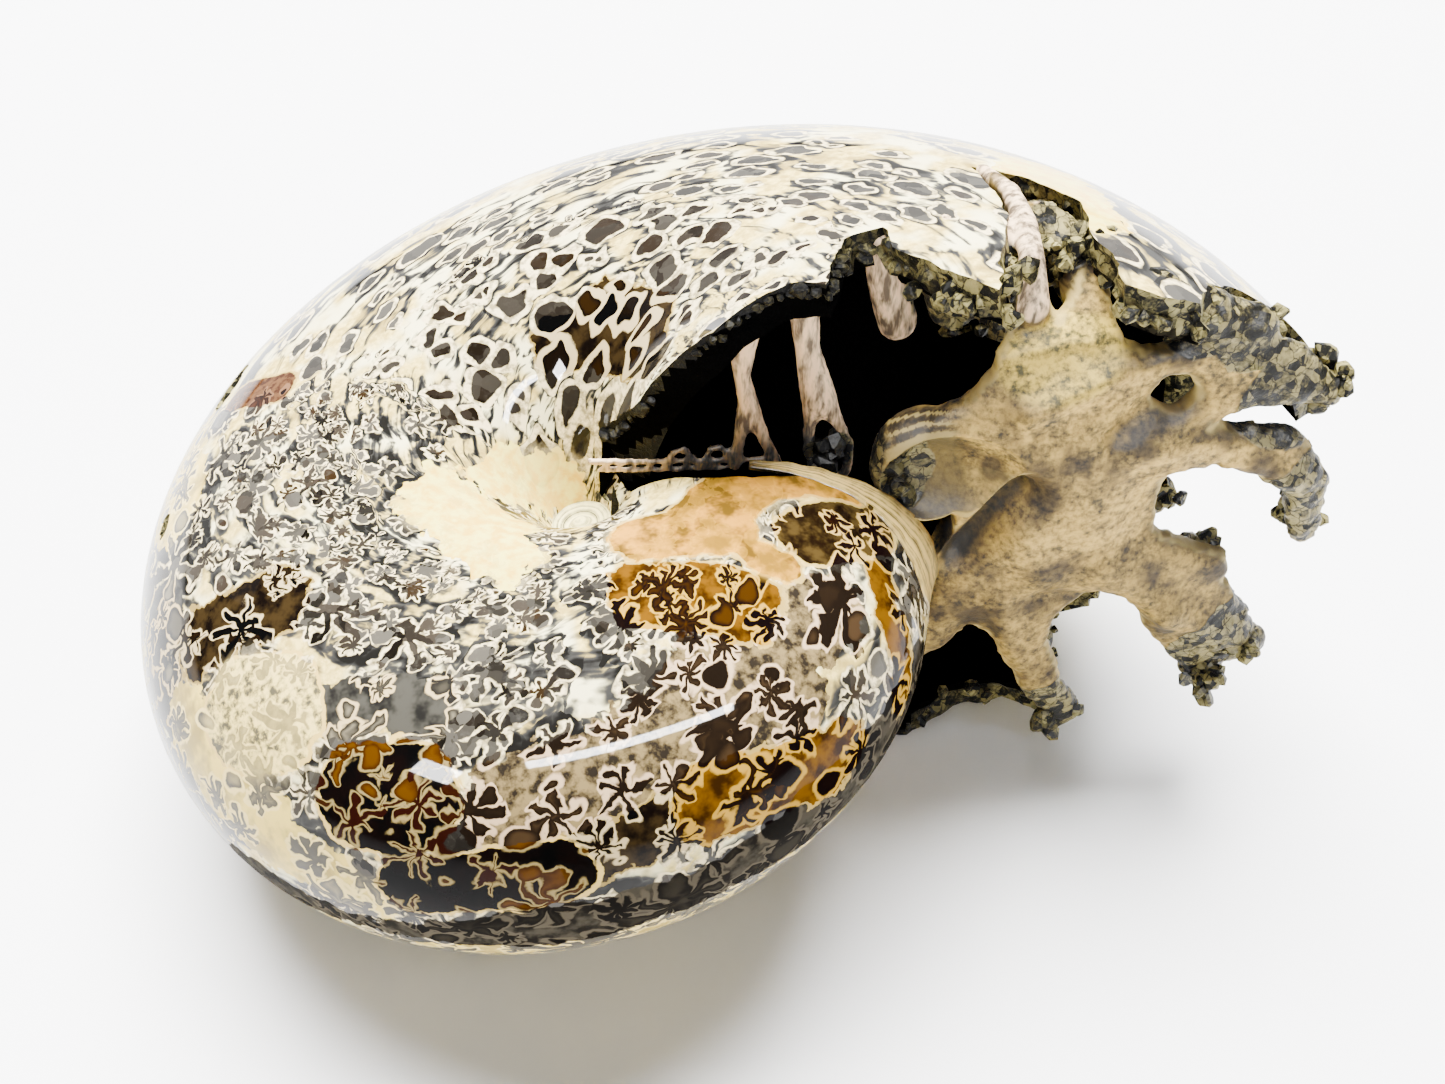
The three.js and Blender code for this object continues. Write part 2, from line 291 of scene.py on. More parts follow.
def apply_modifiers(made: Object) -> None:
    """Turns what an object's modifiers give into its own mesh.

    Args:
        made: The object.
    """
    graph = bpy.context.evaluated_depsgraph_get()
    final = bpy.data.meshes.new_from_object(made.evaluated_get(graph))
    old = made.data
    made.modifiers.clear()
    made.data = final
    bpy.data.meshes.remove(old)


def combine(made: Object, tool: Object, how: Join) -> None:
    """Cuts, adds or keeps the space of a tool, and removes the tool.

    Args:
        made: The object that is changed.
        tool: The object that it meets.
        how: What is done with the tool's space.
    """
    modifier = made.modifiers.new("combine", "BOOLEAN")
    modifier.operation = how.value
    modifier.solver = "MANIFOLD"
    modifier.object = tool
    apply_modifiers(made)
    mesh = tool.data
    bpy.data.objects.remove(tool)
    bpy.data.meshes.remove(mesh)


def coordinates(mesh: Mesh) -> np.ndarray:
    """Gives a mesh's vertices, one row each.

    Args:
        mesh: The mesh.

    Returns:
        The vertices.
    """
    values = np.zeros(len(mesh.vertices) * 3, np.float32)
    mesh.vertices.foreach_get("co", values)
    return values.reshape(-1, 3).astype(float)


def store(mesh: Mesh, name: str, values: np.ndarray, domain: str = "POINT") -> None:
    """Stores a number or a vector for each vertex or corner, for the materials to read.

    Args:
        mesh: The mesh.
        name: The name that materials read it by.
        values: The values, one row each.
        domain: POINT or CORNER.
    """
    kind, key = ("FLOAT", "value") if values.ndim == 1 else ("FLOAT_VECTOR", "vector")
    attribute = mesh.attributes.new(name, kind, domain)
    attribute.data.foreach_set(key, values.astype(np.float32).ravel())


def column(items: bpy.types.bpy_prop_collection, key: str, width: int = 1) -> np.ndarray:
    """Reads a value of every face, corner or vertex.

    Args:
        items: The faces, corners or vertices.
        key: The value's name.
        width: How many numbers it has.

    Returns:
        The values, one row each.
    """
    kind = np.float32 if key in ("center", "co") else np.int32
    values = np.zeros(len(items) * width, kind)
    items.foreach_get(key, values)
    return values.reshape(-1, width).astype(float) if width > 1 else values


def to_part_frame(made: Object) -> None:
    """Moves a finished mesh from the coil's frame to the part's."""
    made.data.transform(COIL.to_part())
    made.data.update()


def dress(made: Object) -> Object:
    """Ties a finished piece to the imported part.

    Args:
        made: The piece.

    Returns:
        The piece.
    """
    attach(made, BODY)
    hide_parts(NODE)
    return made


def triangles(made: Object) -> int:
    """Counts the triangles of a mesh."""
    return sum(len(face.vertices) - 2 for face in made.data.polygons)


def swell(point: Vector, size: float) -> Vector:
    """Gives a smooth shift that varies over a size in millimetres, up to about 1 each way.

    Args:
        point: Where.
        size: The size.

    Returns:
        The shift.
    """
    where = point / size
    return Vector([noise.noise(where + Vector((offset, 2.0 * offset, -offset)))
                   for offset in (0.0, 31.7, 67.3)])


# The way the blocks of broken stone are turned.
BLOCK_TURN = Matrix.Rotation(0.7, 3, Vector((1.0, 0.4, 0.2))) @ Matrix.Rotation(0.9, 3, "Z")


def ramp(values: np.ndarray, start: float, end: float) -> np.ndarray:
    """Gives 0 at the start and 1 at the end, evenly between them and level beyond."""
    return np.clip((values - start) / (end - start), 0.0, 1.0)


def line_gap(x: np.ndarray, y: np.ndarray, start: tuple, end: tuple) -> tuple:
    """Finds where points of a plane lie beside a line.

    Args:
        x: The points' first coordinates.
        y: Their second ones.
        start: Where the line starts.
        end: Where it ends.

    Returns:
        How far along the line each point is, from 0 to 1, and its distance to the line.
    """
    (ax, ay), (bx, by) = start, end
    dx, dy = bx - ax, by - ay
    along = np.clip(((x - ax) * dx + (y - ay) * dy) / (dx * dx + dy * dy), 0.0, 1.0)
    return along, np.hypot(x - ax - along * dx, y - ay - along * dy)


def rough_shift(point: Vector, size: float, amount: float) -> Vector:
    """Gives a blocky shift, as broken stone has.

    Args:
        point: Where, in the coil's frame.
        size: The size of the blocks.
        amount: How far it shifts, about.

    Returns:
        The shift.
    """
    bent = BLOCK_TURN @ point / size + swell(point, size * 1.5) * 0.5
    blocks = noise.cell_vector(bent) - Vector((0.5, 0.5, 0.5))
    return (blocks * 0.7 + swell(point, size) * 0.7) * amount


def tint(code: str, key: float = 5.8) -> tuple[float, float, float, float]:
    """Finds the colour of a surface that looks a given way in the studio's light.

    The screen's view mixes the three lights a little, bends each with the same curve and parts
    them again, so that bright colours look paler. This goes the way back.

    Args:
        code: The colour that it shows on a screen, in six hex digits.
        key: How bright a white surface is there.

    Returns:
        The surface's own colour.
    """
    shown = np.array([int(code[i:i + 2], 16) / 256.0 for i in (0, 2, 4)])
    white = (WHITEST * key / VIEW_MIDDLE) ** (1.0 / VIEW_POWER)
    shown *= min(1.0, white / (1.0 + white) / shown.max())
    parted = np.clip(shown.mean() + (shown - shown.mean()) / VIEW_PARTING, 0.003, 0.98)
    mixed = VIEW_MIDDLE * (parted / (1.0 - parted)) ** VIEW_POWER
    light = mixed.mean() + (mixed - mixed.mean()) / VIEW_MIXING
    light[1] += 0.07 * (light[0] - light[2])
    return (*np.clip(light / key, 0.0012, WHITEST).tolist(), 1.0)


@dataclass
class Graph:
    """Adds nodes to a material or a node group and links them."""

    tree: NodeTree

    def add(self, kind: str, inputs: dict | None = None, **settings) -> Node:
        """Adds a node.

        Args:
            kind: The node's type.
            inputs: A value or a socket for each input, by name or by place.
            settings: The node's own settings.

        Returns:
            The node.
        """
        node = self.tree.nodes.new(kind)
        for name, value in settings.items():
            setattr(node, name, value)
        self.feed(node, inputs or {})
        return node

    def feed(self, node: Node, inputs: dict) -> None:
        """Gives a node's inputs their values.

        Args:
            node: The node.
            inputs: A value or a socket for each input, by name or by place.
        """
        for name, value in inputs.items():
            if isinstance(value, NodeSocket):
                self.tree.links.new(value, node.inputs[name])
            else:
                node.inputs[name].default_value = value

    def math(self, operation: str, *values, clamp: bool = False) -> NodeSocket:
        """Adds a sum on numbers and gives its result."""
        inputs = dict(enumerate(values))
        return self.add("ShaderNodeMath", inputs, operation=operation, use_clamp=clamp).outputs[0]

    def vector(self, operation: str, *values) -> NodeSocket:
        """Adds a sum on vectors and gives its result."""
        node = self.add("ShaderNodeVectorMath", dict(enumerate(values)), operation=operation)
        return node.outputs["Value" if operation == "LENGTH" else "Vector"]

    def scaled(self, value: NodeSocket, factor) -> NodeSocket:
        """Gives a vector times a number."""
        node = self.add("ShaderNodeVectorMath", {0: value, "Scale": factor}, operation="SCALE")
        return node.outputs["Vector"]

    def bent(self, place, texture: Node, amount) -> NodeSocket:
        """Shifts a place by a noise's colour, up to half the amount each way."""
        shift = self.vector("SUBTRACT", texture.outputs["Color"], (0.5, 0.5, 0.5))
        return self.vector("ADD", place, self.scaled(shift, amount))

    def step(self, value, low, high) -> NodeSocket:
        """Gives 0 below low and 1 above high, with a smooth way between."""
        inputs = {"Value": value, "From Min": low, "From Max": high}
        return self.add("ShaderNodeMapRange", inputs, interpolation_type="SMOOTHSTEP").outputs[0]

    def blend(self, mask, first, second) -> NodeSocket:
        """Gives the first colour where the mask is 0 and the second where it is 1."""
        inputs = {0: mask, 6: first, 7: second}
        return self.add("ShaderNodeMix", inputs, data_type="RGBA").outputs[2]

    def noise(self, place, size: float, detail: float = 2.0, roughness: float = 0.5,
              dimensions: str = "2D") -> Node:
        """Adds a noise with swells of a size."""
        inputs = {"Vector": place, "Scale": 1.0 / size, "Detail": detail, "Roughness": roughness}
        return self.add("ShaderNodeTexNoise", inputs, noise_dimensions=dimensions)

    def cells(self, place, randomness: float, feature: str = "F1",
              dimensions: str = "2D", scale: float = 1.0) -> Node:
        """Adds a pattern of cells one unit wide over the scale.

        Args:
            place: Where.
            randomness: How uneven the cells are.
            feature: What of a cell it gives.
            dimensions: 2D or 3D.
            scale: How many cells to a unit.

        Returns:
            The node.
        """
        inputs = {"Vector": place, "Scale": scale, "Randomness": randomness}
        return self.add("ShaderNodeTexVoronoi", inputs, voronoi_dimensions=dimensions,
                        feature=feature)

    def attribute(self, name: str, output: str = "Fac") -> NodeSocket:
        """Gives a value that is stored on the mesh."""
        return self.add("ShaderNodeAttribute", attribute_name=name).outputs[output]

    def use(self, group: NodeTree, inputs: dict) -> bpy.types.bpy_prop_collection:
        """Adds a node group and gives its outputs."""
        return self.add("ShaderNodeGroup", inputs, node_tree=group).outputs


def open_group(name: str, inputs: dict[str, float | None],
               outputs: tuple[str, ...]) -> tuple[NodeTree, Graph, object, object]:
    """Starts a node group.

    Args:
        name: The group's name.
        inputs: Each input's name, with its number, or None for a vector.
        outputs: The names of the numbers that it gives.

    Returns:
        The group, its graph, what goes in and what comes out.
    """
    group = bpy.data.node_groups.new(name, "ShaderNodeTree")
    for socket, number in inputs.items():
        kind = "NodeSocketVector" if number is None else "NodeSocketFloat"
        made = group.interface.new_socket(socket, in_out="INPUT", socket_type=kind)
        if number is not None:
            made.default_value = number
    for socket in outputs:
        group.interface.new_socket(socket, in_out="OUTPUT", socket_type="NodeSocketFloat")
    graph = Graph(group)
    given = graph.add("NodeGroupInput").outputs
    return group, graph, given, graph.add("NodeGroupOutput").inputs


def rosette_group() -> NodeTree:
    """Makes the leaf rosettes that the sutures draw on the ground skin.

    Its Distance is in millimetres from the rosette's edge, less than nothing inside. Its Chance
    and Leaf are numbers from 0 to 1 that differ by rosette and by leaf.

    Returns:
        The node group.
    """
    group, graph, given, result = open_group(
        "Suture rosettes", {"Map": None, "Spacing": 5.0, "Wobble": 0.25, "Neck": 0.05,
                            "Leaf Width": 0.13}, ("Distance", "Chance", "Leaf"))
    place = graph.scaled(given["Map"], graph.math("DIVIDE", 1.0, given["Spacing"]))
    place = graph.bent(place, graph.noise(place, 0.45, 1.5), given["Wobble"])
    place = graph.bent(place, graph.noise(place, 0.13, 0.0), 0.11)
    place = graph.vector("MULTIPLY", place, (1.0, 1.0, 0.0))
    cell = graph.cells(place, 0.8).outputs
    room = graph.cells(place, 0.8, "N_SPHERE_RADIUS").outputs["Radius"]
    chances = graph.add("ShaderNodeSeparateColor", {0: cell["Color"]}).outputs
    middle = graph.vector("MULTIPLY", cell["Position"], (1.0, 1.0, 0.0))
    away = graph.add("ShaderNodeSeparateXYZ",
                     {0: graph.vector("SUBTRACT", place, middle)}).outputs
    length = graph.math("SQRT", graph.math("ADD", graph.math("MULTIPLY", away[0], away[0]),
                                           graph.math("MULTIPLY", away[1], away[1])))
    leaves = graph.math("FLOOR", graph.math("MULTIPLY_ADD", chances[0], 3.99, 5.0))
    turned = graph.math("DIVIDE", graph.math("ARCTAN2", away[1], away[0]), 2.0 * math.pi)
    turned = graph.math("MULTIPLY", graph.math("ADD", turned, chances[1]), leaves)
    leaf = graph.math("FLOOR", graph.math("ADD", turned, 0.5))
    off = graph.math("SUBTRACT", turned, leaf)
    off = graph.math("DIVIDE", graph.math("MULTIPLY", off, 2.0 * math.pi), leaves)
    seed = graph.add("ShaderNodeCombineXYZ",
                     {0: graph.math("FLOORED_MODULO", leaf, leaves),
                      1: graph.math("MULTIPLY", chances[2], 91.0),
                      2: graph.math("MULTIPLY", chances[0], 53.0)}).outputs[0]
    dice = graph.add("ShaderNodeTexWhiteNoise", {0: seed}, noise_dimensions="3D").outputs
    picks = graph.add("ShaderNodeSeparateColor", {0: dice["Color"]}).outputs
    tip = graph.math("MULTIPLY", room, graph.math("MULTIPLY_ADD", picks[0], 0.55, 0.5))
    along = graph.math("MULTIPLY", length, graph.math("COSINE", off))
    aside = graph.math("MULTIPLY", length, graph.math("SINE", off))
    spread = graph.math("MULTIPLY_ADD", picks[1], 0.7, 0.6)
    wide = graph.math("MULTIPLY", given["Leaf Width"], spread)
    wide = graph.math("MULTIPLY", wide, graph.math("MULTIPLY", room, 2.2))
    grown = graph.step(graph.math("DIVIDE", along, tip), 0.15, 0.95)
    width = graph.math("ADD", given["Neck"],
                       graph.math("MULTIPLY", grown, graph.math("SUBTRACT", wide, given["Neck"])))
    over = graph.math("MAXIMUM", graph.math("SUBTRACT", along, tip), 0.0)
    gap = graph.math("SQRT", graph.math("ADD", graph.math("MULTIPLY", over, over),
                                        graph.math("MULTIPLY", aside, aside)))
    gap = graph.math("SUBTRACT", gap, width)
    hub = graph.math("SUBTRACT", length, graph.math("MULTIPLY", room, 0.24))
    gap = graph.math("MINIMUM", gap, hub)
    absent = graph.math("MULTIPLY", graph.math("LESS_THAN", chances[2], 0.12), 0.6)
    gap = graph.math("MULTIPLY", graph.math("ADD", gap, absent), given["Spacing"])
    graph.tree.links.new(gap, result["Distance"])
    graph.tree.links.new(chances[2], result["Chance"])
    graph.tree.links.new(dice["Value"], result["Leaf"])
    return group


def loop_group() -> NodeTree:
    """Makes the small single loops between the rosettes, drawn out along the coil.

    Returns:
        The node group.
    """
    group, graph, given, result = open_group(
        "Suture loops", {"Map": None, "Spacing": 2.2, "Share": 0.6, "Stretch": 0.72,
                         "Least": 0.45, "Lobes": 0.0},
        ("Distance", "Chance"))
    place = graph.scaled(given["Map"], graph.math("DIVIDE", 1.0, given["Spacing"]))
    place = graph.bent(place, graph.noise(place, 0.8, 1.0), 0.45)
    place = graph.bent(place, graph.noise(place, 0.55, 0.0), given["Lobes"])
    stretch = graph.add("ShaderNodeCombineXYZ", {0: given["Stretch"], 1: 1.0}).outputs[0]
    place = graph.vector("MULTIPLY", place, stretch)
    cell = graph.cells(place, 0.85).outputs
    room = graph.cells(place, 0.85, "N_SPHERE_RADIUS").outputs["Radius"]
    chances = graph.add("ShaderNodeSeparateColor", {0: cell["Color"]}).outputs
    size = graph.math("MULTIPLY_ADD", chances[0], graph.math("SUBTRACT", 0.95, given["Least"]),
                      given["Least"])
    size = graph.math("MULTIPLY", room, size)
    gap = graph.math("SUBTRACT", cell["Distance"], size)
    absent = graph.math("MULTIPLY", graph.math("GREATER_THAN", chances[1], given["Share"]), 0.8)
    gap = graph.math("MULTIPLY", graph.math("ADD", gap, absent), given["Spacing"])
    graph.tree.links.new(gap, result["Distance"])
    graph.tree.links.new(chances[2], result["Chance"])
    return group


def patch_group() -> NodeTree:
    """Makes the ragged edge of a patch of another colour, and the line round it.

    Returns:
        The node group.
    """
    group, graph, given, result = open_group(
        "Patch edge", {"Inside": 0.0, "Map": None, "Raggedness": 1.6, "Line": 0.3},
        ("Mask", "Border"))
    ragged = graph.noise(given["Map"], 1.9, 3.0, dimensions="3D").outputs[0]
    ragged = graph.math("SUBTRACT", ragged, 0.5)
    inside = graph.math("ADD", given["Inside"], graph.math("MULTIPLY", ragged,
                                                           given["Raggedness"]))
    graph.tree.links.new(graph.step(inside, -0.06, 0.06), result["Mask"])
    beside = graph.math("DIVIDE", graph.math("ABSOLUTE", inside), given["Line"])
    graph.tree.links.new(graph.math("SUBTRACT", 1.0, graph.step(beside, 0.6, 1.0)),
                         result["Border"])
    return group


@dataclass(frozen=True)
class Zone:
    """The look of one kind of patch.

    Its ground and the cores of its leaves each run from one colour to another. Border is how
    strong the line round it is, and bare is how much of the polish it lacks. Sparse and thin
    make its leaves and their outlines smaller, in millimetres, and plain is how far they fade.
    """

    ragged: float
    tone: float
    ground: tuple[str, str]
    core: tuple[str, str]
    outline: str
    border: float = 0.0
    bare: float = 0.0
    sparse: float = 0.0
    thin: float = 0.0
    plain: float = 0.0


# Each kind of patch lies over those that come before it.
ZONES = {
    "grey": Zone(3.0, 2.2, ("403E3A", "8E8A80"), ("4E4A44", "C0B8A8"), "E8E0D0"),
    "pale": Zone(4.0, 3.0, ("DCCFA4", "F8F0D0"), ("8C8478", "CCC2A8"), "F8F2DE"),
    # The keel's dark ground is partly the stone's grey band and partly painted shade of the lower
    # side.
    "keel": Zone(2.0, 1.8, ("2A231B", "7C7262"), ("1A150F", "4E4436"), "968A78", bare=0.92),
    "umber": Zone(5.0, 1.1, ("52463A", "CCBC9E"), ("2E2018", "7A5A40"), "E6DCD0", bare=0.2),
    "brown": Zone(3.4, 1.6, ("1A110A", "64492C"), ("0A0603", "45260C"), "E4DCCC", border=0.4,
                  bare=0.35, sparse=0.06),
    "amber": Zone(3.2, 1.9, ("5A2C04", "B8802A"), ("180A02", "743E06"), "E2CC94", border=0.5,
                  bare=0.45),
    "black": Zone(1.8, 2.4, ("060302", "1A0F08"), ("4A1404", "A0600A"), "D2C4A2", border=1.0,
                  bare=0.6, sparse=0.12, thin=0.09),
    "darkleaf": Zone(1.6, 1.8, ("2E1A0A", "8A6C40"), ("200802", "6E3206"), "E6D8B8",
                     border=0.8, bare=0.35),
    "mottled": Zone(2.2, 0.9, ("A49C88", "F2ECD6"), ("8A8474", "CCC4AE"), "F2ECD8",
                    border=1.0, plain=0.45),
    "rust": Zone(1.4, 0.7, ("7A4230", "B08060"), ("2A120E", "8A4A34"), "C09A80", border=0.6),
    "smooth": Zone(5.0, 1.4, ("F2E6BE", "FCF8DC"), ("D8CCA4", "F0E6C4"), "FBF6E0", plain=1.0),
    "tan": Zone(1.6, 2.2, ("B08848", "E8CC98"), ("B0864A", "DCB87A"), "F0DCA8", border=0.6,
                plain=1.0),
}


@dataclass
class Look:
    """What the skin shows so far: its colours, its figures' distance and their outlines' width."""

    ground: NodeSocket
    core: NodeSocket
    outline: NodeSocket
    nearest: NodeSocket
    wide: NodeSocket
    coat: NodeSocket | float = 1.0


class PolishedSkin:
    """The material of the ground and polished skin, drawn on its flat map."""

    cream = tint("E4DABA")
    light_cream = tint("F8F2DC")
    slate = tint("7E7C78")
    deep_slate = tint("35332F")
    white = tint("FAF6EC")

    def __init__(self) -> None:
        """Makes the material and its nodes."""
        self.material = bpy.data.materials.new("polished skin")
        self.material.use_nodes = True
        self.graph = Graph(self.material.node_tree)
        self.shader = self.material.node_tree.nodes["Principled BSDF"]
        self.map = self.graph.attribute("skin_map", "Vector")
        where = self.graph.add("ShaderNodeTexCoord").outputs["Object"]
        self.place = self.graph.scaled(where, 1.0 / MM)
        self.edge = patch_group()
        self.draw()

    def ground(self, nearest, fine) -> NodeSocket:
        """Gives the cream ground, with slate streaks along the coil and round the leaves.

        Args:
            nearest: The distance to the nearest figure.
            fine: A fine noise.

        Returns:
            The colour.
        """
        graph = self.graph
        stretched = graph.vector("MULTIPLY", self.map, (0.25, 1.0, 0.0))
        stretched = graph.bent(stretched, graph.noise(self.map, 7.0, 1.0), 3.2)
        streaks = graph.noise(stretched, 1.7, 2.6)
        cloud = graph.noise(self.place, 15.0, 1.0, dimensions="3D").outputs[0]
        level = graph.math("ADD", streaks.outputs[0], graph.math("MULTIPLY", cloud, 0.5))
        level = graph.math("ADD", level, graph.math("MULTIPLY", fine, 0.12))
        halo = graph.math("SUBTRACT", 1.0, graph.step(nearest, 0.25, 1.4))
        level = graph.math("ADD", level, graph.math("MULTIPLY_ADD", halo, 0.22, -0.08))
        warm = graph.blend(graph.step(fine, 0.35, 0.68), self.cream, self.light_cream)
        drift = graph.noise(self.place, 5.0, 2.0, dimensions="3D").outputs[0]
        warm = graph.blend(graph.step(drift, 0.46, 0.62), warm, tint("FDFBF2"))
        warm = graph.blend(graph.math("SUBTRACT", 0.6, graph.step(drift, 0.3, 0.46), clamp=True),
                           warm, tint("CDBC94"))
        dark = graph.blend(graph.step(level, 0.86, 1.04), self.slate, self.deep_slate)
        return graph.blend(graph.step(level, 0.74, 0.9), warm, dark)

    def core(self, chance, leaf, fine) -> NodeSocket:
        """Gives the colour inside the leaves: slate, grey, brown or nearly black.

        Args:
            chance: A number from 0 to 1 for each figure.
            leaf: One for each leaf.
            fine: A fine noise.

        Returns:
            The colour.
        """
        graph = self.graph
        tone = graph.math("ADD", graph.math("MULTIPLY", chance, 0.6),
                          graph.math("MULTIPLY", leaf, 0.4))
        ramp = graph.add("ShaderNodeValToRGB", {0: tone})
        stops = ((0.0, "6C6862"), (0.22, "352F29"), (0.4, "A29C92"), (0.55, "1A1510"),
                 (0.72, "7A6E62"), (0.88, "563A26"))
        bands = ramp.color_ramp.elements
        bands[0].position, bands[0].color = stops[0][0], tint(stops[0][1])
        bands[1].position, bands[1].color = stops[-1][0], tint(stops[-1][1])
        for place, colour in stops[1:-1]:
            bands.new(place).color = tint(colour)
        return graph.blend(graph.math("MULTIPLY", graph.step(fine, 0.5, 0.8), 0.25),
                           ramp.outputs[0], tint("B8B4AC"))

    def nearer(self, first: tuple, second: tuple) -> tuple:
        """Gives the smaller of two distances, with the chance that belongs to it.

        Args:
            first: A distance and its chance.
            second: The other ones.

        Returns:
            The smaller distance and its chance.
        """
        graph = self.graph
        picked = graph.math("LESS_THAN", second[0], first[0])
        chance = graph.add("ShaderNodeMix", {0: picked, 2: first[1], 3: second[1]}).outputs[0]
        return graph.math("MINIMUM", first[0], second[0]), chance

    def figures(self, flank, ringed, inner) -> tuple:
        """Draws every leaf and loop.

        Args:
            flank: Where the long ovals of the upper flank are.
            ringed: Where the small round rings beside the opening are.
            inner: Where the skin faces along the axis, so that the map is drawn out there.

        Returns:
            The distance to the nearest one's edge, its chance, and the leaf's own chance.
        """
        graph = self.graph
        shifted = graph.vector("ADD", self.map, (311.0, 57.0, 0.0))
        stretched = graph.vector("MULTIPLY", self.map, (0.8, 1.0, 0.0))
        level = graph.vector("MULTIPLY", self.place, (1.0, 1.0, 0.0))
        rosettes, loops = rosette_group(), loop_group()
        outer = graph.math("MAXIMUM", graph.math("MAXIMUM", flank, inner), ringed)
        layers = (
            (outer, rosettes, {"Map": stretched, "Spacing": 5.4, "Leaf Width": 0.085,
              "Wobble": 0.34}),
            (outer, rosettes, {"Map": shifted, "Spacing": 3.7, "Leaf Width": 0.092,
              "Wobble": 0.34}),
            (outer, loops, {"Map": shifted, "Spacing": 2.5, "Share": 0.4, "Stretch": 0.75}),
            (graph.math("SUBTRACT", 1.0, flank), loops,
             {"Map": self.map, "Spacing": 3.3, "Share": 0.75, "Stretch": 0.5, "Least": 0.5,
              "Lobes": 0.2}),
            (graph.math("SUBTRACT", 1.0, ringed), loops,
             {"Map": level, "Spacing": 3.0, "Share": 0.95, "Stretch": 0.85, "Least": 0.7,
              "Lobes": 0.35}),
            (graph.math("SUBTRACT", 1.0, inner), rosettes,
             {"Map": level, "Spacing": 3.9, "Leaf Width": 0.09}),
        )
        nearest, leaf = (5.0, 0.5), 0.5
        for absent, group, settings in layers:
            made = graph.use(group, settings)
            away = graph.math("MULTIPLY_ADD", absent, 3.0, made["Distance"])
            nearest = self.nearer(nearest, (away, made["Chance"]))
            leaf = made["Leaf"] if group is rosettes else leaf
        return *nearest, leaf

    def draw(self) -> None:
        """Draws the whole pattern and feeds the shader."""
        graph = self.graph
        fine = graph.noise(self.place, 0.8, 3.0, 0.6, "3D").outputs[0]
        sway = graph.noise(self.place, 4.0, 2.0, dimensions="3D").outputs[0]
        sway = graph.math("SUBTRACT", sway, 0.5)
        flank, ringed, inner = (
            graph.step(graph.math("ADD", graph.attribute(name), sway), 0.44, 0.56)
            for name in ("flank", "ringed", "inner"))
        nearest, chance, leaf = self.figures(flank, ringed, inner)
        nearest = graph.math("ADD", nearest,
                             graph.math("MULTIPLY", graph.math("SUBTRACT", fine, 0.5), 0.25))
        ground = self.ground(nearest, fine)
        core = self.core(chance, leaf, fine)
        core = graph.blend(graph.math("MULTIPLY", flank, 0.5), core, self.slate)
        core = graph.blend(graph.math("MULTIPLY", ringed, 0.65), core, tint("2E2016"))
        deep = graph.math("SUBTRACT", 1.0, graph.step(nearest, -0.5, -0.05))
        dice = graph.step(graph.math("FRACT", graph.math("MULTIPLY", chance, 7.3)), 0.2, 0.6)
        outline = graph.blend(graph.step(fine, 0.35, 0.6), tint("D6CEBA"), self.white)
        wide = graph.math("MULTIPLY_ADD", flank, 0.16, 0.12)
        wide = graph.math("MULTIPLY_ADD", ringed, 0.34, wide)
        look = Look(ground, core, outline, nearest, wide)
        lit = graph.math("MULTIPLY", dice, deep)
        for name, zone in ZONES.items():
            self.lay(look, name, zone, lit)
        self.finish(look)

    def lay(self, look: Look, name: str, zone: Zone, lit) -> None:
        """Lays one kind of patch over what the skin shows.

        Args:
            look: What the skin shows so far, which is changed.
            name: The kind's name, which its stored field has too.
            zone: The kind's own look.
            lit: How far the cores of its leaves turn to the second colour.
        """
        graph = self.graph
        inside = graph.use(self.edge, {"Inside": graph.attribute(name), "Map": self.place,
                                       "Raggedness": zone.ragged, "Line": 0.28})
        mask = inside["Mask"]
        if zone.bare:
            bare = graph.math("MULTIPLY", mask, zone.bare)
            look.coat = graph.math("SUBTRACT", look.coat, bare, clamp=True)
        if zone.sparse:
            look.nearest = graph.math("MULTIPLY_ADD", mask, zone.sparse, look.nearest)
        if zone.thin:
            look.wide = graph.math("MULTIPLY_ADD", mask, -zone.thin, look.wide)
        tone = graph.noise(self.place, zone.tone, 3.0, 0.6, "3D").outputs[0]
        ground = graph.blend(graph.step(tone, 0.36, 0.64), *map(tint, zone.ground))
        look.ground = graph.blend(mask, look.ground, ground)
        look.core = graph.blend(mask, look.core, graph.blend(lit, *map(tint, zone.core)))
        look.outline = graph.blend(mask, look.outline, tint(zone.outline))
        if zone.border:
            line = graph.math("MULTIPLY", inside["Border"], zone.border)
            look.ground = graph.blend(line, look.ground, tint("EAE0C4"))

    def finish(self, look: Look) -> None:
        """Draws the leaves over the ground and feeds the shader.

        Args:
            look: What the skin shows.
        """
        graph = self.graph
        faint = graph.math("MULTIPLY_ADD", graph.attribute("plain"), -0.8, 1.0)
        inside_leaf = graph.math("SUBTRACT", 1.0, graph.step(look.nearest, -0.08, 0.02))
        past_line = graph.step(look.nearest, look.wide, graph.math("ADD", look.wide, 0.14))
        line = graph.math("SUBTRACT", 1.0, past_line)
        colour = graph.blend(graph.math("MULTIPLY", line, faint), look.ground, look.outline)
        colour = graph.blend(graph.math("MULTIPLY", inside_leaf, faint), colour, look.core)
        graph.feed(self.shader, {"Base Color": colour, "Coat Weight": look.coat,
                                 "Roughness": 0.3, "Coat Roughness": 0.03, "Coat IOR": 1.18,
                                 "Specular IOR Level": 0.0})


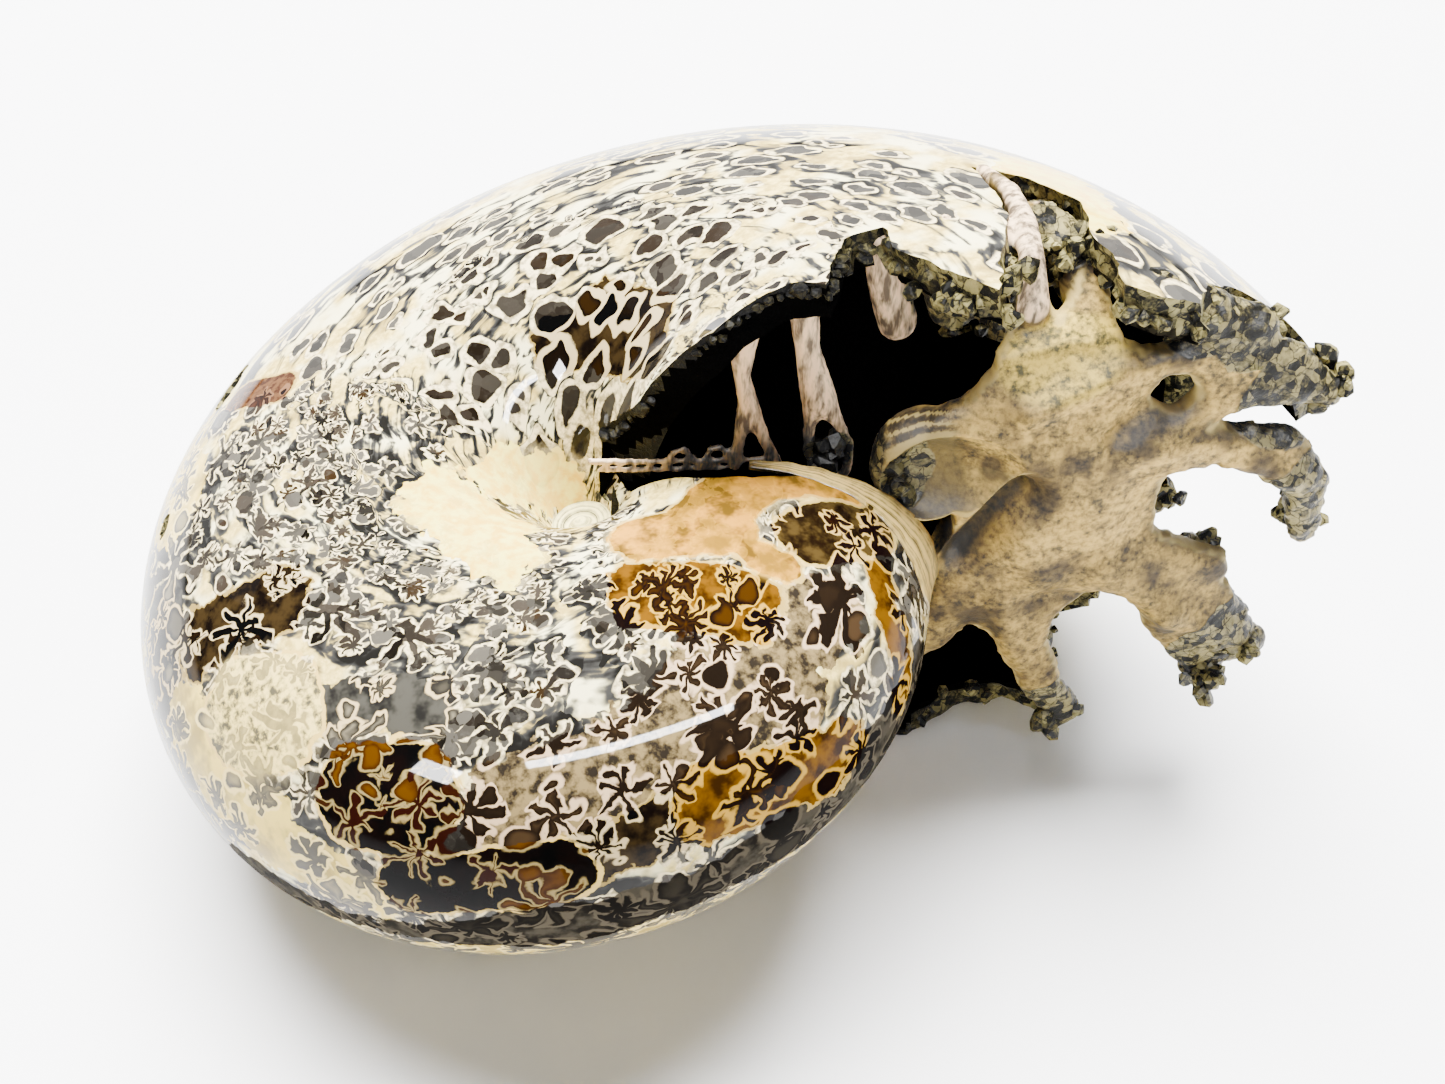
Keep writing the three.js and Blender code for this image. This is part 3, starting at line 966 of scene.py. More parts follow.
class BrokenStone:
    """The materials of what isn't polished: crystals, the cavern, painted near-black for its
    shade, and the partition.
    """

    def __init__(self) -> None:
        """Makes the three materials."""
        self.crystal = self.crystal_material("broken crystal", "17160E", "CCC4A2", 0.8)
        # The cavern is painted near-black for the shade inside the chamber.
        self.cavern = self.crystal_material("painted shade cavern", "0A0906", "4E4636", 1.0, "020201",
                                            0.0)
        self.partition = self.partition_material()
        self.lip = self.layered_material("shell layers", "across", 0.13, "A07A40", "FBF3DC")
        self.pearl = self.layered_material("navel pearl", "ring", 0.42, "66684F", "FBF8EA")

    @staticmethod
    def start(name: str) -> tuple[Material, Graph, Node]:
        """Starts a material and gives its graph and shader.

        Args:
            name: The material's name.

        Returns:
            The material, its graph and its shader.
        """
        material = bpy.data.materials.new(name)
        material.use_nodes = True
        return (material, Graph(material.node_tree),
                material.node_tree.nodes["Principled BSDF"])

    @staticmethod
    def place(graph: Graph) -> NodeSocket:
        """Gives the place on the piece in millimetres."""
        where = graph.add("ShaderNodeTexCoord").outputs["Object"]
        return graph.scaled(where, 1.0 / MM)

    def grain(self, graph: Graph, place, dark: str, light: str, size: float,
              key: float = 4.4) -> tuple:
        """Adds blocky crystal grain, with painted shade in its crevices, and gives its colour, its
        height and its flecks.

        Args:
            graph: The material's graph.
            place: The place in millimetres.
            dark: The darker colour.
            light: The lighter one.
            size: The size of a block.
            key: How bright a white surface is.

        Returns:
            The colour, the height and the flecks.
        """
        blocks = graph.cells(place, 1.0, dimensions="3D", scale=1.0 / size).outputs
        tone = graph.add("ShaderNodeSeparateColor", {0: blocks["Color"]}).outputs[0]
        fine = graph.noise(place, 0.7, 4.0, 0.65, "3D").outputs[0]
        level = graph.math("ADD", graph.math("MULTIPLY", tone, 0.5),
                           graph.math("MULTIPLY", fine, 0.8))
        colour = graph.blend(graph.step(level, 0.49, 0.9), tint(dark, key), tint(light, key))
        bent = graph.noise(place, 1.1, 2.0, dimensions="3D").outputs["Color"]
        bent = graph.vector("ADD", place, graph.scaled(bent, 0.9))
        crevice = graph.cells(bent, 1.0, "DISTANCE_TO_EDGE", "3D", 0.6 / size).outputs[0]
        crevice = graph.math("ADD", crevice, graph.math("MULTIPLY", fine, 0.1))
        # Painted shade: the crevices between the blocks are darkened.
        colour = graph.blend(graph.step(crevice, 0.04, 0.12), tint(dark, key * 2.0), colour)
        fleck = graph.step(graph.noise(place, 0.4, 2.0, 0.5, "3D").outputs[0], 0.66, 0.72)
        return colour, level, fleck

    def crystal_material(self, name: str, dark: str, light: str, size: float,
                         shade: str = "0E0C08", mirror: float = 0.06) -> Material:
        """Makes a dark crystalline stone, with painted shade where the stored shaded value is
        high.

        Args:
            name: Its name.
            dark: The darker colour.
            light: The lighter one.
            size: The size of a block.
            shade: The colour of the painted shade.
            mirror: How much it mirrors.

        Returns:
            The material.
        """
        material, graph, shader = self.start(name)
        place = self.place(graph)
        colour, level, fleck = self.grain(graph, place, dark, light, size)
        colour = graph.blend(graph.math("MULTIPLY", fleck, 0.6), colour, tint(light))
        # Painted shade: the colour turns to the shade colour by the stored shaded value.
        colour = graph.blend(graph.attribute("shaded"), colour, tint(shade))
        bump = graph.add("ShaderNodeBump", {"Height": level, "Strength": 0.7,
                                            "Distance": 0.3 * MM})
        graph.feed(shader, {"Base Color": colour, "Normal": bump.outputs[0],
                            "Roughness": 0.45, "Specular IOR Level": mirror})
        return material

    def layered_material(self, name: str, layers: str, size: float, dark: str,
                         light: str) -> Material:
        """Makes polished shell in thin layers, which follow a value stored on the mesh.

        Args:
            name: Its name.
            layers: The stored value's name.
            size: How far apart the layers are.
            dark: The darker colour.
            light: The lighter one.

        Returns:
            The material.
        """
        material, graph, shader = self.start(name)
        place = self.place(graph)
        bend = graph.noise(place, 2.4, 2.0, dimensions="3D").outputs[0]
        level = graph.math("ADD", graph.attribute(layers), graph.math("MULTIPLY", bend, size))
        spot = graph.add("ShaderNodeCombineXYZ", {0: level}).outputs[0]
        bands = graph.noise(spot, size, 2.0, 0.6).outputs[0]
        cloud = graph.noise(place, 1.2, 3.0, 0.6, "3D").outputs[0]
        tone = graph.math("ADD", graph.math("MULTIPLY", bands, 0.7),
                          graph.math("MULTIPLY", cloud, 0.3))
        colour = graph.blend(graph.step(tone, 0.36, 0.58), tint(dark), tint(light))
        graph.feed(shader, {"Base Color": colour, "Roughness": 0.32, "Coat Weight": 0.8,
                            "Coat IOR": 1.27, "Specular IOR Level": 0.15})
        return material

    def partition_material(self) -> Material:
        """Makes the tan skin of the partition, dark and crystalline where it is broken, with
        painted shade in its hollows, in the ear's cup and along the arms' edges.

        Returns:
            The material.
        """
        material, graph, shader = self.start("partition")
        place = self.place(graph)
        key = 4.9
        grain = graph.noise(place, 0.6, 4.0, 0.62, "3D").outputs[0]
        cloud = graph.noise(place, 6.0, 3.0, 0.55, "3D").outputs[0]
        stain = graph.noise(place, 2.2, 3.0, 0.6, "3D").outputs[0]
        fine = graph.math("ADD", graph.math("MULTIPLY", grain, 0.6),
                          graph.math("MULTIPLY", stain, 0.4))
        warm = graph.blend(graph.step(fine, 0.32, 0.66), tint("746648", key), tint("E6D8B2", key))
        brown = graph.blend(graph.step(fine, 0.32, 0.66), tint("46331F", key),
                            tint("A88E64", key))
        colour = graph.blend(graph.step(cloud, 0.46, 0.64), warm, brown)
        # Painted shade: the stored dent shade darkens the hollows, the ear's cup, the lower part
        # and the arms' edges to dark brown.
        dent_shade = graph.math("MULTIPLY", graph.step(graph.attribute("dent_shade"), 0.35, 1.9), 0.9)
        colour = graph.blend(dent_shade, colour, tint("33220F"))
        streak = graph.noise(graph.vector("MULTIPLY", place, (1.0, 1.0, 0.22)), 0.8, 3.0, 0.6,
                             "3D").outputs[0]
        bone = graph.blend(graph.step(streak, 0.35, 0.62), tint("AA9886", key),
                           tint("F4ECE2", key))
        colour = graph.blend(graph.attribute("pale"), colour, bone)
        crust = graph.blend(graph.step(fine, 0.38, 0.6), tint("8A8050", key),
                            tint("E6DAAC", key))
        colour = graph.blend(graph.step(graph.attribute("crust"), 0.25, 0.7), colour, crust)
        crystal, level, fleck = self.grain(graph, place, "1A1810", "C8BE9C", 0.8)
        edge = graph.math("ADD", graph.attribute("crystal"),
                          graph.math("MULTIPLY", graph.math("SUBTRACT", cloud, 0.5), 1.2))
        broken = graph.step(edge, 0.4, 0.6)
        colour = graph.blend(broken, colour, crystal)
        line = graph.math("MULTIPLY", graph.step(graph.attribute("rim"), 0.4, 0.85),
                          graph.math("MULTIPLY_ADD", broken, -0.8, 0.8))
        colour = graph.blend(line, colour, tint("E2D8BA"))
        height = graph.math("ADD", graph.math("MULTIPLY", grain, 0.5),
                            graph.math("MULTIPLY", level, broken))
        bump = graph.add("ShaderNodeBump", {"Height": height, "Strength": 0.6,
                                            "Distance": 0.3 * MM})
        rough = graph.math("MULTIPLY_ADD", broken, -0.12, 0.6)
        graph.feed(shader, {"Base Color": colour, "Normal": bump.outputs[0],
                            "Roughness": rough, "Specular IOR Level": 0.12})
        return material


@dataclass(frozen=True)
class Patch:
    """A patch of another colour: what lies near a line between two points of the skin.

    Each point is given by its turn and its angle round the section, both in degrees.
    """

    start: tuple[float, float]
    end: tuple[float, float]
    reach: float

    def inside(self, points: np.ndarray) -> np.ndarray:
        """Gives how far inside the patch points are, in millimetres.

        Args:
            points: Points in the coil's frame, one row each.

        Returns:
            How far inside each is, less than nothing outside.
        """
        start, end = np.array(COIL.skin(*self.start)), np.array(COIL.skin(*self.end))
        line = end - start
        along = np.clip((points - start) @ line / max(1e-9, line @ line), 0.0, 1.0)
        nearest = start + along[:, None] * line
        return self.reach - np.linalg.norm(points - nearest, axis=1)


PATCHES = {
    "grey": (
        Patch((128, 53), (111, 59), 2.3), Patch((166, 38), (158, 30), 4.2),
        Patch((232, -70), (218, -66), 4), Patch((205, 10), (186, 8), 3.4),
    ),
    "pale": (
        # The first three pale patches make a strip along the lower edge: painted light from the
        # lit floor.
        Patch((140, -20), (100, -18), 3.2), Patch((100, -18), (60, -20), 3.2),
        Patch((60, -20), (30, -22), 3), Patch((150, 28), (132, 18), 4.2),
        Patch((132, 18), (118, 8), 3), Patch((196, 40), (184, 48), 4.6),
    ),
    "keel": (
        Patch((100, -3), (60, -4), 3.2), Patch((140, -5), (100, -3), 2.6),
        Patch((60, -4), (30, -6), 3.8),
    ),
    "umber": (
        Patch((96, 34), (58, 36), 5), Patch((66, 50), (40, 44), 4),
    ),
    "brown": (
        Patch((90, 20), (78, 22), 2.6), Patch((156, 46), (149, 66), 3.3),
        Patch((322, 126), (300, 124), 4.4), Patch((284, 125), (276, 125), 3),
        Patch((262, -35), (248, -30), 5), Patch((252, 6), (238, 10), 4.2),
        Patch((330, -20), (318, -14), 5),
    ),
    "amber": (
        Patch((67, 77), (52, 62), 3.7), Patch((72, 22), (52, 10), 3.2),
        Patch((30, 22), (36, 2), 1.9), Patch((24, 34), (30, 26), 1.6),
        Patch((205, -40), (195, -35), 4.4), Patch((122, -85), (116, -78), 3.4),
        Patch((280, 12), (272, 16), 3),
    ),
    "black": (
        Patch((118, 36), (112, 38), 4.6), Patch((112, 14.5), (93, 17), 3.1),
        Patch((153, -50), (146, -47), 4.5), Patch((294, -55), (286, -50), 4.6),
        Patch((174, 4), (168, 8), 3.2),
    ),
    "darkleaf": (
        Patch((27, 58), (16, 42), 3.3),
    ),
    "mottled": (
        Patch((140.5, 43), (136, 47), 5.2), Patch((92, -60), (88, -52), 5),
    ),
    "rust": (
        Patch((203, 60), (203, 72), 2.1),
    ),
    "smooth": (
        Patch((152, 106), (106, 95), 3), Patch((150, 112), (126, 114), 4),
        Patch((235, 152), (180, 135), 3), Patch((350, 62), (338, 55), 4.6),
        Patch((190, -110), (170, -105), 4), Patch((120, -120), (60, -115), 3),
    ),
    "tan": (
        Patch((57, 91), (38, 79), 3.2), Patch((36, 84), (17, 79), 3.6),
        Patch((14, 70), (8, 48), 1.9), Patch((40, 68), (38, 60), 1.7),
    ),
}


@dataclass
class PolishedShell:
    """The shell: its solid turns, the hollow last part, and the break at its end.

    The outlines above, below, lower_flank and seam are plan views. Each corner is a turn in
    degrees and a distance out in millimetres. A pit has a turn, an angle and its half sizes.
    """

    coil: Coil = COIL
    turn_step: float = 1.3
    sides: int = 144
    turns_start: float = -51.0
    turns_end: float = 300.0
    tube_end: float = 372.0
    chamber_back: float = 314.0
    wall: float = 3.4
    floor_drop: float = 3.5
    overlap: float = 9.0
    break_cell: float = 0.9
    break_roughness: float = 0.55
    above_foot: float = 4.5
    below_top: float = 4.6
    flank_top: float = 5.0
    clear: float = 60.0
    skin_gap: float = 0.06
    inner_part: float = 28.0
    above: tuple = (
        (309, 3), (316, 5.5), (338, 6.5), (357, 8.2), (369.6, 15.9), (364, 18.7), (362.5, 22.5),
        (366.7, 25.5), (350.6, 27.6), (350.4, 31.2), (358.8, 31.5), (365.9, 35.1), (370.5, 38.8),
        (352, 41.2), (336, 43.6), (342, 47.3), (347, 49), (356.5, 47.2), (359.7, 48.4),
        (366, 47.9), (366.5, 50.5), (365.5, 53.7), (360.5, 55.7), (359, 58), (358.6, 60.5),
        (358, 64), (354, 80), (378, 80), (378, 24), (402, 12),
    )
    below: tuple = (
        (300, 3), (330, 6), (346, 9), (356, 16), (352, 22), (356, 27), (351, 33), (353, 38),
        (358, 42), (350, 46), (350, 80), (378, 80), (378, 24), (402, 12),
    )
    lower_flank: tuple = (
        (352, 43.5), (344, 46.5), (346, 50), (339, 54), (343, 59), (338, 63), (342, 66),
        (340, 80), (378, 80), (378, 43.5),
    )
    seam: tuple = (
        (-50, 5.5), (5, 5.5), (14, 8.5), (15.5, 12.8), (13, 17), (9.5, 21), (5.5, 25), (3, 28),
        (2, 34), (-50, 34),
    )
    pits: tuple = ((208.0, 50.0, (2.5, 3.75, 0.9)), (183.0, 42.0, (1.2, 1.5, 0.8)))

    def stretch(self, first: float, last: float, step: float, sides: int, wall: float,
                roughness: float = 0.0) -> Object:
        """Makes a closed stretch of the coil between two turns.

        Args:
            first: The turn where it starts.
            last: The turn where it ends.
            step: Degrees from one ring to the next.
            sides: How many faces go round it.
            wall: How far under the skin it lies.
            roughness: How far its surface is broken up.

        Returns:
            The object, in the coil's frame.
        """
        rings = math.ceil((last - first) / step)
        shape = bmesh.new()
        bmesh.ops.create_grid(shape, x_segments=rings, y_segments=sides, size=0.5)
        for vertex in shape.verts:
            turn = first + (last - first) * (vertex.co.x + 0.5)
            vertex.co = self.coil.skin(turn, 360.0 * (vertex.co.y + 0.5), wall)
        bmesh.ops.remove_doubles(shape, verts=shape.verts, dist=1e-3)
        if roughness:
            for vertex in shape.verts:
                vertex.co += rough_shift(vertex.co, 2.4, roughness)
        ends = [edge for edge in shape.edges if edge.is_boundary]
        bmesh.ops.holes_fill(shape, edges=ends, sides=0)
        bmesh.ops.recalc_face_normals(shape, faces=shape.faces)
        return new_object("stretch", shape)

    def plan_prism(self, outline: tuple, low: float, high: float,
                   roughness: float) -> Object:
        """Makes the upright prism over a plan outline, with rough sides.

        Args:
            outline: The outline's corners, each a turn and a distance out.
            low: The height of its foot.
            high: The height of its top.
            roughness: How far its sides are broken up.

        Returns:
            The object, in the coil's frame.
        """
        corners = [self.coil.place(turn, out, 0.0) for turn, out in outline]
        shape = bmesh.new()
        ring = []
        for start, end in zip(corners, corners[1:] + corners[:1]):
            count = max(1, round((end - start).length / self.break_cell)) if roughness else 1
            ring += [shape.verts.new(start.lerp(end, i / count)) for i in range(count)]
        face = shape.faces.new(ring)
        bmesh.ops.translate(shape, verts=shape.verts, vec=(0.0, 0.0, low))
        layers = max(1, round((high - low) / self.break_cell)) if roughness else 1
        rise = Vector((0.0, 0.0, (high - low) / layers))
        for layer in range(layers):
            grown = bmesh.ops.extrude_face_region(shape, geom=[face])["geom"]
            if layer:
                bmesh.ops.delete(shape, geom=[face], context="FACES_ONLY")
            face = next(item for item in grown if isinstance(item, BMFace))
            moved = [item for item in grown if isinstance(item, BMVert)]
            bmesh.ops.translate(shape, verts=moved, vec=rise)
        if roughness:
            for vertex in shape.verts:
                vertex.co += rough_shift(vertex.co, 2.0, roughness)
        ends = [end for end in shape.faces if len(end.verts) > 4]
        bmesh.ops.triangulate(shape, faces=ends)
        bmesh.ops.recalc_face_normals(shape, faces=shape.faces)
        return new_object("prism", shape)

    def sunken_floor(self) -> Object:
        """Makes the skin of the inner turn that is gone from the chamber's floor.

        Returns:
            The object, to be cut away.
        """
        skin = self.stretch(-50.0, 20.0, 3.0, 60, -0.4)
        combine(skin, self.stretch(-60.0, 34.0, 1.5, 90, self.floor_drop, 0.35), Join.CUT)
        combine(skin, self.plan_prism(self.seam, -20.0, 20.0, 0.25), Join.KEEP)
        return skin

    def build(self) -> Object:
        """Makes the shell in one closed mesh, with a material slot for each kind of face.

        Returns:
            The shell.
        """
        made = self.stretch(self.turns_end - self.overlap, self.tube_end, self.turn_step,
                            self.sides, 0.0)
        chamber = self.stretch(self.chamber_back, self.tube_end + 6.0, 1.5, 110, self.wall, 0.15)
        combine(made, chamber, Join.CUT)
        gone = ((self.above, self.above_foot, self.clear),
                (self.below, -self.clear, self.below_top),
                (self.lower_flank, -self.clear, self.flank_top))
        for outline, low, high in gone:
            prism = self.plan_prism(outline, low, high, self.break_roughness)
            combine(made, prism, Join.CUT)
        turns = self.stretch(self.turns_start, self.turns_end, self.turn_step, self.sides, 0.0)
        combine(turns, self.sunken_floor(), Join.CUT)
        combine(made, turns, Join.ADD)
        for turn, around, size in self.pits:
            combine(made, self.pit(turn, around, size), Join.CUT)
        made.name = "polished_shell"
        self.grind(made)
        self.finish_faces(made)
        return made

    def grind(self, made: Object) -> None:
        """Grinds the flat that the shell rests on.

        Args:
            made: The shell.
        """
        up = Vector(self.coil.rest_up).normalized()
        shape = bmesh.new()
        shape.from_mesh(made.data)
        cut = bmesh.ops.bisect_plane(shape, geom=shape.verts[:] + shape.edges[:] + shape.faces[:],
                                     plane_co=up * -self.coil.middle[2], plane_no=up,
                                     clear_inner=True)
        edges = [item for item in cut["geom_cut"] if isinstance(item, BMEdge)]
        filled = bmesh.ops.holes_fill(shape, edges=edges, sides=0)
        bmesh.ops.triangulate(shape, faces=filled["faces"])
        shape.to_mesh(made.data)
        shape.free()

    def pit(self, turn: float, around: float, size: tuple) -> Object:
        """Makes the space of a shallow pit in the skin.

        Args:
            turn: Its turn.
            around: Its angle round the section.
            size: Its half sizes.

        Returns:
            The object, to be cut away.
        """
        matrix = (Matrix.Translation(self.coil.skin(turn, around))
                  @ Matrix.Rotation(-math.radians(turn + self.coil.start_bearing), 4, "Z")
                  @ Matrix.Diagonal((*size, 1.0)))
        shape = bmesh.new()
        bmesh.ops.create_icosphere(shape, subdivisions=5, radius=1.0, matrix=matrix)
        for vertex in shape.verts:
            vertex.co += rough_shift(vertex.co, 0.9, 0.3)
        return new_object("pit", shape)

    def finish_faces(self, made: Object) -> None:
        """Sorts the faces by kind and stores the skin's flat map and its patches.

        Args:
            made: The shell.
        """
        mesh = made.data
        mesh.materials.clear()
        points = coordinates(mesh)
        outside = SKIN_MAP.nearest_turn(points)[1]
        corner = column(mesh.loops, "vertex_index")
        owner = np.repeat(np.arange(len(mesh.polygons)), column(mesh.polygons, "loop_total"))
        centres = column(mesh.polygons, "center", 3)
        kinds = self.face_kinds(centres, outside[corner], owner)
        mesh.polygons.foreach_set("material_index", kinds)
        up = np.array(Vector(self.coil.rest_up).normalized())
        on_skin = kinds == Surface.POLISHED.value
        on_skin &= centres @ up > 0.01 - self.coil.middle[2]
        mesh.polygons.foreach_set("use_smooth", on_skin)
        near = SKIN_MAP.nearest_turn(centres)[0][owner]
        places = SKIN_MAP.unroll(points[corner], near, np.sign(centres[owner, 2]))
        store(mesh, "skin_map", places, "CORNER")
        self.store_zones(mesh, points[corner], places[:, 2])
        in_cavern = kinds[owner] == Surface.CAVERN.value
        self.store_shade(mesh, points[corner], outside[corner], in_cavern)
        facing = SKIN_MAP.normals(points[corner], near)
        facing[~on_skin[owner]] = 0.0
        mesh.normals_split_custom_set(facing.tolist())

    def face_kinds(self, centres: np.ndarray, outside: np.ndarray,
                   owner: np.ndarray) -> np.ndarray:
        """Sorts the faces by kind.

        Args:
            centres: The middle of each face.
            outside: How far outside the skin each corner lies.
            owner: The face that each corner belongs to.

        Returns:
            The number of each face's Surface.
        """
        counts = np.bincount(owner)
        on_skin = np.bincount(owner, np.abs(outside) < self.skin_gap) == counts
        inner = np.hypot(centres[:, 0], centres[:, 1]) < self.inner_part
        # Faces deep under the skin take the cavern material, which is painted near-black for
        # shade. Near the axis, all but the topmost faces take it.
        deep = np.bincount(owner, outside) / counts < np.where(inner, -0.7, -2.6)
        kinds = np.full(len(centres), Surface.BROKEN.value, np.int32)
        kinds[deep] = Surface.CAVERN.value
        # The faces at the chamber's back take the cavern too, painted near-black for the shade
        # seen through the gaps.
        past = SKIN_MAP.bearing(centres) - self.chamber_back
        kinds[(past > -4.0) & (past < 3.0)] = Surface.CAVERN.value
        kinds[on_skin] = Surface.POLISHED.value
        return kinds

    def store_zones(self, mesh: Mesh, points: np.ndarray,
                    turns: np.ndarray) -> None:
        """Stores how far inside each kind of patch the corners lie, and the skin's parts.

        Args:
            mesh: The shell's mesh.
            points: The place of each corner.
            turns: The turn of each corner.
        """
        plain = np.zeros(len(points))
        for kind, zone in ZONES.items():
            patches = [patch.inside(points) for patch in PATCHES[kind]]
            inside = np.clip(np.max(patches, axis=0), -6.0, 6.0)
            store(mesh, kind, inside, "CORNER")
            plain = np.maximum(plain, zone.plain * ramp(inside, -0.6, 0.4))
        store(mesh, "plain", plain, "CORNER")
        around = SKIN_MAP.level(points, turns)[0]
        behind = ramp(turns, 190.0, 216.0)
        axial = ramp(np.abs(around), 84.0, 96.0)
        store(mesh, "flank", behind * (1.0 - axial), "CORNER")
        store(mesh, "ringed", behind * axial, "CORNER")
        store(mesh, "inner", axial * (1.0 - behind), "CORNER")

    def store_shade(self, mesh: Mesh, points: np.ndarray, outside: np.ndarray,
                    in_cavern: np.ndarray) -> None:
        """Stores the painted shade of the broken stone and the cavern, least where the chamber
        lies open.

        Args:
            mesh: The shell's mesh.
            points: The place of each corner.
            outside: How far outside the skin each corner lies.
            in_cavern: Whether each corner's face is part of the cavern.
        """
        out = np.hypot(points[:, 0], points[:, 1])
        # Painted shade: darker deeper under the skin and nearer the axis. The cavern's painted
        # shade lifts near its open mouth.
        under = ramp(outside, -1.0, -2.6) * np.maximum(ramp(out, 46.0, 36.0), 0.3)
        radial = np.minimum(ramp(out, 35.0, 25.0), 0.98)
        turned = np.mod(SKIN_MAP.bearing(points) - 180.0, 360.0) + 180.0
        open_part = ramp(turned, 340.0, 350.0) * ramp(out, 42.0, 48.0)
        shaded = np.where(in_cavern, 1.0 - 0.9 * open_part, np.maximum(radial, under))
        store(mesh, "shaded", shaded, "CORNER")


